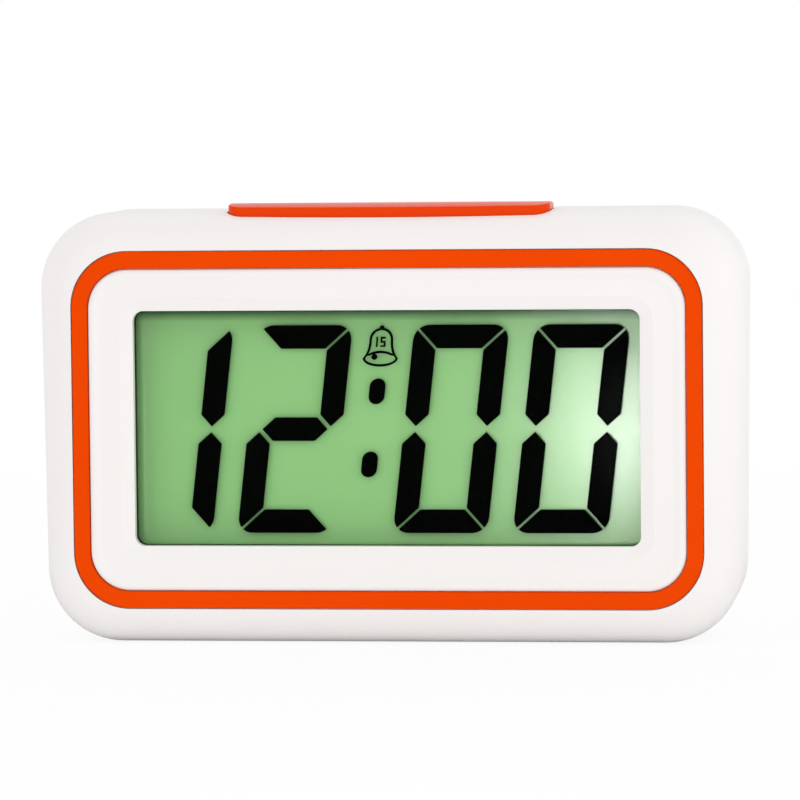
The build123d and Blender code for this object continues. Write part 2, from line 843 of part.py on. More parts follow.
export_step(lcd_alarm_symbol.part, "parts/lcd_alarm_symbol.step")

# Frame that presses the stack against the panel, with a slot for the connector
with BuildPart() as lcd_frame:
    with BuildSketch(facing(lens_back, z=middle + front_glass_z)):
        margin = slip + lcd_frame_side
        Rectangle(glass_width + 2 * margin, front_glass_height + 2 * margin)
    extrude(amount=-lcd_frame_depth)
    with BuildSketch(facing(lens_back, z=middle + front_glass_z)):
        Rectangle(glass_width + 2 * slip, front_glass_height + 2 * slip)
    extrude(amount=-(reflector_back - lens_back), mode=Mode.SUBTRACT)
    with BuildSketch(facing(reflector_back, z=middle + rear_glass_z)):
        Rectangle(glass_width - 2 * lcd_frame_lip, rear_glass_height - 2 * lcd_frame_lip)
    extrude(amount=-(board_front - reflector_back), mode=Mode.SUBTRACT)
    with BuildSketch(facing(reflector_back, z=middle + connector_z)):
        Rectangle(glass_width - 2 * lcd_frame_side + 2 * slip, connector_thickness + 2 * slip)
    extrude(amount=-(board_front - reflector_back), mode=Mode.SUBTRACT)
    with BuildSketch(facing(lens_back)):
        with Locations(*board_boss_places()):
            Circle(board_boss_radius + slip)
    extrude(amount=-lcd_frame_depth, mode=Mode.SUBTRACT)
lcd_frame.part.label = "lcd_frame"
export_step(lcd_frame.part, "parts/lcd_frame.step")

with BuildPart() as zebra_connector:
    with BuildSketch(facing(ink_front, z=middle + connector_z)):
        Rectangle(glass_width - 2 * lcd_frame_side, connector_thickness)
    extrude(amount=-(board_front - ink_front))
zebra_connector.part.label = "zebra_connector"
export_step(zebra_connector.part, "parts/zebra_connector.step")

# Main board and its screws
with BuildPart() as main_board:
    with BuildSketch(facing(board_front, z=middle + board_z)):
        Rectangle(board_width, board_height)
    extrude(amount=-board_thickness)
    with BuildSketch(facing(board_front)):
        with Locations(*board_boss_places()):
            Circle(board_hole_radius)
    extrude(amount=-board_thickness, mode=Mode.SUBTRACT)
main_board.part.label = "main_board"
export_step(main_board.part, "parts/main_board.step")

small_screw = screw(small_head_radius, small_head_height, small_screw_radius, small_screw_length)
facing_back = Rotation(-90, 0, 0)
with BuildPart() as main_board_screws:
    for x, z in board_boss_places():
        add(Pos(x, front_y + board_back, middle + z) * facing_back * small_screw)
main_board_screws.part.label = "main_board_screws"
export_step(main_board_screws.part, "parts/main_board_screws.step")


def board_place(share):
    """Plane that faces the back, on the main board's back face at a share of its size."""
    x = share[0] * board_width
    z = middle + board_z + share[1] * board_height
    return Plane(origin=(x, front_y + board_back, z), x_dir=(-1, 0, 0), z_dir=(0, 1, 0))


for name, share, radius in (
    ("clock_chip", clock_chip_share, chip_radius),
    ("voice_chip", voice_chip_share, voice_chip_radius),
):
    with BuildPart(board_place(share)) as chip:
        Cylinder(radius, chip_height, align=(Align.CENTER, Align.CENTER, Align.MIN))
        fillet(chip.edges().sort_by(Axis.Y)[-1], chip_round)
    chip.part.label = name
    export_step(chip.part, f"parts/{name}.step")

with BuildPart() as crystal:
    place = board_place(crystal_share)
    with BuildSketch(Plane(origin=place.origin + place.z_dir * crystal_radius, z_dir=(1, 0, 0))):
        Circle(crystal_radius)
    extrude(amount=crystal_length)
crystal.part.label = "quartz_crystal"
export_step(crystal.part, "parts/quartz_crystal.step")

with BuildPart() as resistors:
    for share in resistor_shares:
        with BuildSketch(board_place(share)):
            for side in (-1, 1):
                with Locations((side * (resistor_length / 2 + lead_reach), 0)):
                    Rectangle(lead_size, lead_size)
        extrude(amount=resistor_stand + lead_size / 2)
        place = board_place(share)
        centre = place.origin + place.z_dir * resistor_stand
        with BuildSketch(Plane(origin=centre, z_dir=(1, 0, 0))):
            Rectangle(lead_size, lead_size)
        extrude(amount=resistor_length / 2 + lead_reach, both=True)
        with BuildSketch(Plane(origin=centre, z_dir=(1, 0, 0))):
            Circle(resistor_radius)
        extrude(amount=resistor_length / 2, both=True)
resistors.part.label = "resistors"
export_step(resistors.part, "parts/resistors.step")

with BuildPart() as ceramic_capacitors:
    for share in ceramic_shares:
        place = board_place(share)
        with BuildSketch(place):
            for side in (-1, 1):
                with Locations((0, side * ceramic_radius / 2)):
                    Rectangle(lead_size, lead_size)
        extrude(amount=lead_reach + ceramic_radius)
        centre = place.origin + place.z_dir * (lead_reach + ceramic_radius)
        with BuildSketch(Plane(origin=centre, z_dir=(1, 0, 0))):
            Circle(ceramic_radius)
        extrude(amount=ceramic_thickness / 2, both=True)
ceramic_capacitors.part.label = "ceramic_capacitors"
export_step(ceramic_capacitors.part, "parts/ceramic_capacitors.step")

with BuildPart(board_place(electrolytic_share)) as electrolytic_capacitor:
    Cylinder(electrolytic_radius, electrolytic_height, align=(Align.CENTER, Align.CENTER, Align.MIN))
    fillet(electrolytic_capacitor.edges().sort_by(Axis.Y)[-1], electrolytic_round)
electrolytic_capacitor.part.label = "electrolytic_capacitor"
export_step(electrolytic_capacitor.part, "parts/electrolytic_capacitor.step")

with BuildPart() as speaker_transistor:
    place = board_place(transistor_share)
    with BuildSketch(place):
        for side in (-1, 0, 1):
            with Locations((side * (transistor_radius - lead_size) / 2 * 2, 0)):
                Rectangle(lead_size, lead_size)
    extrude(amount=transistor_stand + lead_size)
    with BuildSketch(Plane(origin=place.origin + place.z_dir * transistor_stand, z_dir=place.z_dir)):
        Circle(transistor_radius)
        with Locations((transistor_flat + transistor_radius, 0)):
            Rectangle(2 * transistor_radius, 2 * transistor_radius, mode=Mode.SUBTRACT)
    extrude(amount=transistor_height)
speaker_transistor.part.label = "speaker_transistor"
export_step(speaker_transistor.part, "parts/speaker_transistor.step")

# Talk button: a crowned cap with a skirt, tabs, a plunger and two spring posts
with BuildPart() as talk_cavity:
    with BuildSketch(Plane.XY.offset(casing_height - talk_skirt - overrun)):
        with Locations((0, talk_y)):
            add(talk_outline(-talk_wall))
    extrude(amount=talk_roof - casing_height + talk_skirt + overrun)

with BuildPart() as talk_button:
    with BuildSketch(Plane.XY.offset(casing_height - talk_skirt)):
        with Locations((0, talk_y)):
            add(talk_outline(0))
    extrude(amount=talk_skirt + talk_crest_rise + overrun)
    with BuildSketch(Plane.YZ):
        with BuildLine():
            nearest = talk_y - talk_depth / 2 - talk_bow
            farthest = talk_y + talk_depth / 2
            crown = ThreePointArc(
                (nearest, casing_height + talk_front_rise),
                (nearest + talk_crest_place, casing_height + talk_crest_rise),
                (farthest, casing_height + talk_back_rise),
            )
            Polyline(
                crown @ 1,
                (farthest, casing_height - talk_skirt),
                (nearest, casing_height - talk_skirt),
                crown @ 0,
            )
        make_face()
    extrude(amount=talk_width, both=True, mode=Mode.INTERSECT)
    fillet(talk_button.faces().sort_by(Axis.Z)[-1].edges(), talk_edge_round)
    add(talk_cavity.part, mode=Mode.SUBTRACT)
    # Tabs under the wall at both ends and along the back
    tab_top = casing_height - wall - tab_play
    with BuildSketch(Plane.XY.offset(tab_top)):
        for side in (-1, 1):
            with Locations((side * (talk_width / 2 - talk_wall / 2 + talk_tab / 2), talk_y + talk_depth / 8)):
                Rectangle(talk_wall + talk_tab, talk_tab_width)
            with Locations((side * talk_width / 4, talk_y + talk_depth / 2 - talk_wall / 2 + talk_tab / 2)):
                Rectangle(talk_tab_width, talk_wall + talk_tab)
    extrude(amount=-talk_tab_thickness)
    with BuildSketch(Plane.XY.offset(talk_roof + bite)):
        with Locations((0, talk_y)):
            Circle(plunger_radius)
    extrude(amount=-(talk_roof + bite - dome_top - dome_play))
    with BuildSketch(Plane.XY.offset(talk_roof + bite)):
        with Locations((talk_spring_x, talk_y), (-talk_spring_x, talk_y)):
            Circle(post_radius)
    extrude(amount=-(post_length + bite))
talk_button.part.label = "talk_button"
export_step(talk_button.part, "parts/talk_button.step")

with BuildPart() as talk_springs:
    turns = coil(
        talk_spring_radius,
        talk_spring_radius,
        talk_spring_wire,
        talk_roof - talk_board_top,
        talk_spring_turns,
    )
    for side in (-1, 1):
        add(Pos(side * talk_spring_x, talk_y, talk_board_top) * turns)
talk_springs.part.label = "talk_springs"
export_step(talk_springs.part, "parts/talk_springs.step")

with BuildPart() as talk_dome:
    with BuildSketch(Plane.XZ.offset(-talk_y)):
        Polygon(
            (0, talk_board_top),
            (dome_base_radius, talk_board_top),
            (dome_base_radius, talk_board_top + dome_base_thickness),
            (dome_radius, talk_board_top + dome_base_thickness),
            (dome_top_radius, dome_top),
            (0, dome_top),
            align=None,
        )
    revolve(axis=Axis((0, talk_y, 0), (0, 0, 1)))
talk_dome.part.label = "talk_dome"
export_step(talk_dome.part, "parts/talk_dome.step")

with BuildPart() as talk_board:
    with BuildSketch(Plane.XY.offset(talk_board_low)):
        with Locations((0, talk_y)):
            Rectangle(talk_board_width, talk_board_depth)
        with Locations((talk_board_hole_x, talk_y), (-talk_board_hole_x, talk_y)):
            Circle(board_hole_radius, mode=Mode.SUBTRACT)
    extrude(amount=board_thickness)
talk_board.part.label = "talk_board"
export_step(talk_board.part, "parts/talk_board.step")

with BuildPart() as talk_board_screws:
    for side in (-1, 1):
        add(Pos(side * talk_board_hole_x, talk_y, talk_board_low) * Rotation(180, 0, 0) * small_screw)
talk_board_screws.part.label = "talk_board_screws"
export_step(talk_board_screws.part, "parts/talk_board_screws.step")

# Rear shell
with BuildPart() as rear_cavity:
    with BuildSketch(facing(back_wall)):
        add(casing_outline(wall))
    extrude(amount=back_wall - parting_depth + overrun)
    fillet(rear_cavity.faces().sort_by(Axis.Y)[-1].edges(), back_edge_radius - wall)

with BuildPart() as rear_shell:
    with BuildSketch(facing(casing_depth)):
        add(casing_outline(0))
    extrude(amount=casing_depth - parting_depth)
    fillet(rear_shell.faces().sort_by(Axis.Y)[-1].edges(), back_edge_radius)
    add(rear_cavity.part, mode=Mode.SUBTRACT)
    with BuildSketch(facing(parting_depth - tongue_height)):
        add(casing_outline(wall / 2 + slip))
        add(casing_outline(wall), mode=Mode.SUBTRACT)
    extrude(amount=-(tongue_height + overrun))
    # Tubes and wells of the casing screws
    with BuildSketch(facing(parting_depth)):
        with Locations(*casing_screw_places()):
            Circle(casing_well_radius + casing_well_wall)
    extrude(amount=-(back_wall - parting_depth + bite))
    with BuildSketch(facing(parting_depth)):
        with Locations(*casing_screw_places()):
            Circle(casing_hole_radius)
    extrude(amount=-casing_depth, mode=Mode.SUBTRACT)
    with BuildSketch(facing(parting_depth + casing_well_floor)):
        with Locations(*casing_screw_places()):
            Circle(casing_well_radius)
    extrude(amount=-casing_depth, mode=Mode.SUBTRACT)
    # Battery bay, with slits for the contacts, hinge holes and two stops for the door
    with BuildSketch(facing(bay_front - bay_wall, x=bay_x, z=bay_z)):
        Rectangle(bay_width + 2 * bay_wall, bay_height + 2 * bay_wall)
    extrude(amount=-(back_wall + bite - bay_front + bay_wall))
    with BuildSketch(facing(bay_front, x=bay_x, z=bay_z)):
        Rectangle(bay_width, bay_height)
    extrude(amount=-bay_depth - overrun, mode=Mode.SUBTRACT)
    with BuildSketch(facing(bay_front)):
        with Locations(
            (bay_left + plate_thickness / 2, upper_cell_z - middle),
            (bay_left + plate_thickness / 2, lower_cell_z - middle),
        ):
            Rectangle(plate_thickness + 2 * plate_slot_play, plate_tab_width + 2 * plate_slot_play)
    extrude(amount=bay_wall + overrun, mode=Mode.SUBTRACT)
    with BuildSketch(Plane.YZ.offset(bay_x)):
        with Locations((front_y + hinge_depth, hinge_z)):
            Circle(hinge_hole_radius)
    extrude(amount=bay_width / 2 + hinge_pin_length + slip, both=True, mode=Mode.SUBTRACT)
    stop_back = back_wall - door_stop_play
    with BuildSketch(facing(stop_back - door_stop_thickness, x=bay_x, z=bay_z + bay_height / 2)):
        for side in (-1, 1):
            with Locations((side * (bay_width - door_stop_width) / 2, -door_stop_height / 2 + bite / 2)):
                Rectangle(door_stop_width, door_stop_height + bite)
    extrude(amount=-door_stop_thickness)
    # Speaker collar, its bosses and the grille
    with BuildSketch(facing(rim_front + clamp_thickness / 2, x=speaker_x, z=speaker_z)):
        Circle(speaker_radius + slip + speaker_collar_wall)
        Circle(speaker_radius + slip, mode=Mode.SUBTRACT)
    extrude(amount=-(back_wall - rim_front - clamp_thickness / 2 + bite))
    with BuildSketch(facing(rim_front, x=speaker_x, z=speaker_z)):
        with PolarLocations(clamp_screw_offset, clamp_screw_count, start_angle=clamp_angle):
            Circle(clamp_boss_radius)
    extrude(amount=-(back_wall - rim_front + bite))
    with BuildSketch(facing(rim_front, x=speaker_x, z=speaker_z)):
        with PolarLocations(clamp_screw_offset, clamp_screw_count, start_angle=clamp_angle):
            Circle(small_pilot_radius)
    extrude(amount=-(small_screw_length - clamp_thickness), mode=Mode.SUBTRACT)
    with BuildSketch(facing(back_wall - overrun, x=speaker_x, z=speaker_z)):
        Circle(grille_hole_radius)
        for ring in range(1, grille_rings + 1):
            with PolarLocations(ring * grille_ring_step, ring * grille_first_ring):
                Circle(grille_hole_radius)
    extrude(amount=-(wall + 2 * overrun), mode=Mode.SUBTRACT)
    # Holes for the setting buttons and the bosses of their board
    with BuildSketch(facing(back_wall - overrun, z=key_z)):
        with Locations(*[(x, 0) for x in key_places()]):
            RectangleRounded(key_width + 2 * key_gap, key_height + 2 * key_gap, key_corner + key_gap)
    extrude(amount=-(wall + 2 * overrun), mode=Mode.SUBTRACT)
    with BuildSketch(facing(key_board_back, z=key_z)):
        with Locations((key_boss_x, 0), (-key_boss_x, 0)):
            Circle(key_boss_radius)
    extrude(amount=-(back_wall - key_board_back + bite))
    with BuildSketch(facing(key_board_back, z=key_z)):
        with Locations((key_boss_x, 0), (-key_boss_x, 0)):
            Circle(small_pilot_radius)
    extrude(amount=-(small_screw_length - board_thickness), mode=Mode.SUBTRACT)
rear_shell.part.label = "rear_shell"
export_step(rear_shell.part, "parts/rear_shell.step")

casing_screw = screw(casing_head_radius, casing_head_height, casing_screw_radius, casing_screw_length)
with BuildPart() as casing_screws:
    for x, z in casing_screw_places():
        seat = front_y + parting_depth + casing_well_floor
        add(Pos(x, seat, middle + z) * facing_back * casing_screw)
casing_screws.part.label = "casing_screws"
export_step(casing_screws.part, "parts/casing_screws.step")

# Setting buttons, their rubber keypad and its board
for name, x in zip(("set_button", "hour_button", "minute_button", "alarm_button"), key_places()):
    with BuildPart() as key:
        with BuildSketch(facing(casing_depth + key_proud, x=x, z=key_z)):
            RectangleRounded(key_width, key_height, key_corner)
        extrude(amount=key_proud + wall + tab_play + key_flange_thickness)
        fillet(key.faces().sort_by(Axis.Y)[-1].edges(), key_edge_round)
        with BuildSketch(facing(back_wall - tab_play, x=x, z=key_z)):
            RectangleRounded(key_width + 2 * key_flange, key_height + 2 * key_flange, key_corner + key_flange)
        extrude(amount=key_flange_thickness)
    key.part.label = name
    export_step(key.part, f"parts/{name}.step")

with BuildPart() as rear_keypad:
    with BuildSketch(facing(key_board_back, z=key_z)):
        RectangleRounded((key_count - 1) * key_pitch + 2 * keypad_margin, keypad_height, key_corner)
    extrude(amount=-keypad_thickness)
    for x in key_places():
        with BuildSketch(facing(key_board_back + keypad_thickness, x=x, z=key_z)):
            Circle(keypad_dome_radius)
        with BuildSketch(facing(key_board_back + keypad_thickness + keypad_dome_height, x=x, z=key_z)):
            Circle(keypad_dome_top)
        loft()
rear_keypad.part.label = "rear_keypad"
export_step(rear_keypad.part, "parts/rear_keypad.step")

with BuildPart() as key_board:
    with BuildSketch(facing(key_board_back, z=key_z)):
        Rectangle(2 * (key_boss_x + key_board_margin), key_board_height)
        with Locations((key_boss_x, 0), (-key_boss_x, 0)):
            Circle(board_hole_radius, mode=Mode.SUBTRACT)
    extrude(amount=board_thickness)
key_board.part.label = "key_board"
export_step(key_board.part, "parts/key_board.step")

facing_front = Rotation(90, 0, 0)
with BuildPart() as key_board_screws:
    for side in (-1, 1):
        add(Pos(side * key_boss_x, front_y + key_board_front, key_z) * facing_front * small_screw)
key_board_screws.part.label = "key_board_screws"
export_step(key_board_screws.part, "parts/key_board_screws.step")

# Battery door: a flush panel whose rolled lower edge turns on two pins
with BuildPart() as battery_door:
    with BuildSketch(facing(casing_depth, x=bay_x)):
        top = bay_z - middle + door_height / 2
        low = hinge_z - middle
        with Locations((0, (top + low) / 2)):
            Rectangle(door_width, top - low)
    extrude(amount=door_thickness)
    with BuildSketch(Plane.YZ.offset(bay_x)):
        with Locations((front_y + hinge_depth, hinge_z)):
            Circle(hinge_roll_radius)
    extrude(amount=door_width / 2, both=True)
    with BuildSketch(Plane.YZ.offset(bay_x)):
        with Locations((front_y + hinge_depth, hinge_z)):
            Circle(hinge_pin_radius)
    extrude(amount=bay_width / 2 + hinge_pin_length, both=True)
    # Latch tongue behind the upper edge and grip ribs on the outside
    with BuildSketch(Plane.YZ.offset(bay_x)):
        inner = front_y + casing_depth - door_thickness
        with Locations((inner, bay_z + door_height / 2 - door_gap)):
            Rectangle(latch_reach, latch_sheet, align=(Align.MAX, Align.MAX))
            Rectangle(bite, latch_sheet, align=(Align.MIN, Align.MAX))
    extrude(amount=latch_width / 2, both=True)
    with BuildSketch(facing(casing_depth + grip_proud, x=bay_x, z=bay_z + door_height / 4)):
        with GridLocations(0, grip_pitch, 1, grip_count):
            SlotOverall(grip_width, grip_height)
    extrude(amount=grip_proud + bite)
battery_door.part.label = "battery_door"
export_step(battery_door.part, "parts/battery_door.step")


def cell(way):
    """An AAA cell along X; its positive end faces way, 1 for +X or -1 for -X."""
    body = cell_length - cell_nub_length
    with BuildPart() as battery:
        with BuildSketch(Plane.YZ):
            Circle(cell_radius)
        extrude(amount=way * body)
        fillet(battery.edges().filter_by(GeomType.CIRCLE), cell_edge_round)
        with BuildSketch(Plane.YZ.offset(way * body)):
            Circle(cell_nub_radius)
        extrude(amount=way * cell_nub_length)
    return battery.part


cell_y = front_y + cell_depth
with BuildPart() as battery_1:
    start = bay_left + plate_thickness + cell_length
    add(Pos(start, cell_y, upper_cell_z) * cell(-1))
battery_1.part.label = "battery_1"
export_step(battery_1.part, "parts/battery_1.step")
with BuildPart() as battery_2:
    start = bay_right - plate_thickness - cell_length
    add(Pos(start, cell_y, lower_cell_z) * cell(1))
battery_2.part.label = "battery_2"
export_step(battery_2.part, "parts/battery_2.step")

with BuildPart() as battery_springs:
    cone_spring = coil(
        battery_spring_base,
        battery_spring_tip,
        battery_spring_wire,
        contact_space,
        battery_spring_turns,
    )
    add(Pos(bay_left + plate_thickness, cell_y, lower_cell_z) * Rotation(0, 90, 0) * cone_spring)
    add(Pos(bay_right - plate_thickness, cell_y, upper_cell_z) * Rotation(0, -90, 0) * cone_spring)
battery_springs.part.label = "battery_springs"
export_step(battery_springs.part, "parts/battery_springs.step")

with BuildPart() as battery_plates:
    for z in (upper_cell_z, lower_cell_z):
        with BuildSketch(Plane.YZ.offset(bay_left)):
            with Locations((cell_y, z)):
                Rectangle(plate_width, plate_width)
            tab_start = cell_y - plate_width / 2
            tab_end = front_y + bay_front - plate_tab_length
            with Locations(((tab_start + tab_end) / 2, z)):
                Rectangle(tab_start - tab_end, plate_tab_width)
        extrude(amount=plate_thickness)
battery_plates.part.label = "battery_plates"
export_step(battery_plates.part, "parts/battery_plates.step")

with BuildPart() as battery_link:
    with BuildSketch(Plane.YZ.offset(bay_right)):
        with Locations((cell_y, bay_z)):
            Rectangle(plate_width, upper_cell_z - lower_cell_z + plate_width)
    extrude(amount=-plate_thickness)
battery_link.part.label = "battery_link"
export_step(battery_link.part, "parts/battery_link.step")

# Speaker, its gasket and the clamp that holds it to the back. The profiles of the
# round pieces are drawn as radius and depth behind the front of the speaker's rim.
speaker_axis = Axis((speaker_x, front_y, speaker_z), (0, 1, 0))
speaker_plane = Plane(
    origin=(speaker_x, front_y + rim_front, speaker_z),
    x_dir=(1, 0, 0),
    z_dir=(0, 0, 1),
)
throat = speaker_radius - speaker_rim
basket_back = speaker_rim_thickness
with BuildPart() as speaker_frame:
    with BuildSketch(speaker_plane):
        Polygon(
            (0, -basket_depth),
            (basket_neck_radius, -basket_depth),
            (throat, 0),
            (speaker_radius, 0),
            (speaker_radius, basket_back),
            (throat - basket_sheet, basket_back),
            (throat - basket_sheet, basket_sheet),
            (basket_neck_radius, basket_sheet - basket_depth),
            (0, basket_sheet - basket_depth),
            align=None,
        )
    revolve(axis=speaker_axis)
speaker_frame.part.label = "speaker_frame"
export_step(speaker_frame.part, "parts/speaker_frame.step")

with BuildPart() as speaker_magnet:
    with BuildSketch(facing(rim_front - basket_depth, x=speaker_x, z=speaker_z)):
        Circle(magnet_radius)
    extrude(amount=magnet_thickness)
    fillet(speaker_magnet.faces().sort_by(Axis.Y)[0].edges(), basket_sheet)
speaker_magnet.part.label = "speaker_magnet"
export_step(speaker_magnet.part, "parts/speaker_magnet.step")

# The cone's edge lies on the rim's back face, under the gasket
with BuildPart() as speaker_cone:
    with BuildSketch(speaker_plane):
        dip = basket_back - cone_dip
        Polygon(
            (0, dip),
            (cone_cap_radius, dip),
            (throat - basket_sheet - cone_edge, basket_back),
            (throat + cone_edge, basket_back),
            (throat + cone_edge, basket_back + cone_sheet),
            (throat - basket_sheet - cone_edge, basket_back + cone_sheet),
            (cone_cap_radius, dip + cone_sheet),
            (0, dip + cone_sheet),
            align=None,
        )
    revolve(axis=speaker_axis)
speaker_cone.part.label = "speaker_cone"
export_step(speaker_cone.part, "parts/speaker_cone.step")

with BuildPart() as speaker_gasket:
    with BuildSketch(facing(rim_front + basket_back, x=speaker_x, z=speaker_z)):
        Circle(speaker_radius)
        Circle(throat + cone_edge + slip, mode=Mode.SUBTRACT)
    extrude(amount=-speaker_gasket_thickness)
speaker_gasket.part.label = "speaker_gasket"
export_step(speaker_gasket.part, "parts/speaker_gasket.step")

with BuildPart() as speaker_terminals:
    terminal_rise = (magnet_radius + basket_neck_radius) / 2
    with BuildSketch(facing(rim_front - basket_depth, x=speaker_x, z=speaker_z + terminal_rise)):
        Rectangle(terminal_width, terminal_height)
    extrude(amount=terminal_thickness)
speaker_terminals.part.label = "speaker_terminals"
export_step(speaker_terminals.part, "parts/speaker_terminals.step")

with BuildPart() as speaker_clamp:
    with BuildSketch(facing(rim_front, x=speaker_x, z=speaker_z)):
        Circle(speaker_radius + slip + speaker_collar_wall)
        with PolarLocations(clamp_screw_offset, clamp_screw_count, start_angle=clamp_angle):
            Circle(clamp_ear_radius)
        Circle(speaker_radius - clamp_lap, mode=Mode.SUBTRACT)
        with PolarLocations(clamp_screw_offset, clamp_screw_count, start_angle=clamp_angle):
            Circle(board_hole_radius, mode=Mode.SUBTRACT)
    extrude(amount=clamp_thickness)
speaker_clamp.part.label = "speaker_clamp"
export_step(speaker_clamp.part, "parts/speaker_clamp.step")

with BuildPart() as speaker_screws:
    for step in range(clamp_screw_count):
        angle = math.radians(clamp_angle + step * 360 / clamp_screw_count)
        x = speaker_x + clamp_screw_offset * math.cos(angle)
        z = speaker_z + clamp_screw_offset * math.sin(angle)
        seat = front_y + rim_front - clamp_thickness
        add(Pos(x, seat, z) * facing_front * small_screw)
speaker_screws.part.label = "speaker_screws"
export_step(speaker_screws.part, "parts/speaker_screws.step")

# Wires between the boards, the cells and the speaker. Each is soldered at both ends
# and held short, so it keeps its route.
board_back_y = front_y + board_back
tab_end_y = front_y + bay_front - plate_tab_length
bend = min(3 * wire_radius, (tab_end_y - board_back_y) / 5)
fine_bend = 3 * fine_wire_radius

with BuildPart() as talk_wires:
    for side in (-1, 1):
        x = side * talk_wire_space / 2
        back = talk_y + talk_board_depth / 2 - fine_bend
        low = middle + board_top - talk_wire_drop
        points = ((x, back, talk_board_low), (x, back, low), (x, board_back_y, low))
        add(wire_along(points, fine_bend, fine_wire_radius))
talk_wires.part.label = "talk_wires"
export_step(talk_wires.part, "parts/talk_wires.step")

with BuildPart() as key_wires:
    for step in range(key_wire_count):
        x = (step - (key_wire_count - 1) / 2) * key_wire_space
        upper = key_z - key_board_height / 2 + fine_bend
        half_way = (front_y + key_board_front + board_back_y) / 2
        points = (
            (x, front_y + key_board_front, upper),
            (x, half_way, upper),
            (x, half_way, upper - key_wire_drop),
            (x, board_back_y, upper - key_wire_drop),
        )
        add(wire_along(points, fine_bend, fine_wire_radius))
key_wires.part.label = "key_wires"
export_step(key_wires.part, "parts/key_wires.step")

with BuildPart() as speaker_wires:
    start = front_y + rim_front - basket_depth - terminal_thickness
    half_way = (start + board_back_y) / 2
    rise = speaker_z + terminal_rise
    for side in (-1, 1):
        x = speaker_x + side * terminal_width / 4
        points = (
            (x, start, rise),
            (x, half_way, rise),
            (x, half_way, rise + speaker_wire_rise),
            (x, board_back_y, rise + speaker_wire_rise),
        )
        add(wire_along(points, bend, wire_radius))
speaker_wires.part.label = "speaker_wires"
export_step(speaker_wires.part, "parts/speaker_wires.step")


def battery_wire(z):
    """A wire from a contact's tab at height z to the main board."""
    x = bay_left + plate_thickness / 2
    half_way = (tab_end_y + board_back_y) / 2
    points = (
        (x, tab_end_y, z),
        (x, half_way, z),
        (x + battery_wire_shift, half_way, z),
        (x + battery_wire_shift, board_back_y, z),
    )
    return wire_along(points, bend, wire_radius)


with BuildPart() as battery_wire_red:
    add(battery_wire(upper_cell_z))
battery_wire_red.part.label = "battery_wire_red"
export_step(battery_wire_red.part, "parts/battery_wire_red.step")

with BuildPart() as battery_wire_black:
    add(battery_wire(lower_cell_z))
battery_wire_black.part.label = "battery_wire_black"
export_step(battery_wire_black.part, "parts/battery_wire_black.step")
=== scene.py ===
"""A talking desk clock in a white studio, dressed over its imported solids.

The display faces -Y and the clock stands on the floor at z = 0. Lengths in the
dataclass fields are millimetres, and the meshes that they make are in metres.
"""

import logging
import math
from dataclasses import dataclass, replace
from enum import Enum
from functools import cache

import bmesh
import bpy
from mathutils import Euler, Matrix, Vector


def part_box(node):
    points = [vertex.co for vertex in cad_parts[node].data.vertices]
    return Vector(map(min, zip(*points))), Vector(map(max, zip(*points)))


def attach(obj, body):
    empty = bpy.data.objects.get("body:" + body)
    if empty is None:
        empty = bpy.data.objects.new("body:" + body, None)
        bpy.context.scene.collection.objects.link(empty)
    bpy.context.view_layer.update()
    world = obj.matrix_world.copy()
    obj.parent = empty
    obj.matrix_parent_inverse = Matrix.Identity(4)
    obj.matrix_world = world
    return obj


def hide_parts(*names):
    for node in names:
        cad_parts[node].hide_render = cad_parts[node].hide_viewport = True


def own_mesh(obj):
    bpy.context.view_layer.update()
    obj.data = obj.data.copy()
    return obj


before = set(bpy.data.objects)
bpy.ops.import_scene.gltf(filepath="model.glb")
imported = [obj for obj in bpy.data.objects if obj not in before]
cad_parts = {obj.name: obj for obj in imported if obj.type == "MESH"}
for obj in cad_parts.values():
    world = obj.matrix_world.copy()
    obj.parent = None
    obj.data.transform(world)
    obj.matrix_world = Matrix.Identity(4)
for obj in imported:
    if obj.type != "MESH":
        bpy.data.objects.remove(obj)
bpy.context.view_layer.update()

MM = 0.001

UP = Vector((0.0, 0.0, 1.0))
RIGHT = Vector((1.0, 0.0, 0.0))
BACKWARDS = Vector((0.0, 1.0, 0.0))
ABOUT_Z = {"cent": (0.0, 0.0, 0.0), "axis": (0.0, 0.0, 1.0)}
WELD = 0.0005  # points of a shape that lie closer than this become one
WASHER_CREASE = 60.0  # degrees between faces, past which a washer's edge is rounded
WHITE = (1.0, 1.0, 1.0)

Pair = tuple[float, float]
Colour = tuple[float, float, float]
Point = tuple[float, float, float]
Socket = bpy.types.NodeSocket
Node = bpy.types.Node
Tree = bpy.types.NodeTree
Material = bpy.types.Material
Shape = bmesh.types.BMesh

log = logging.getLogger("talking_clock")


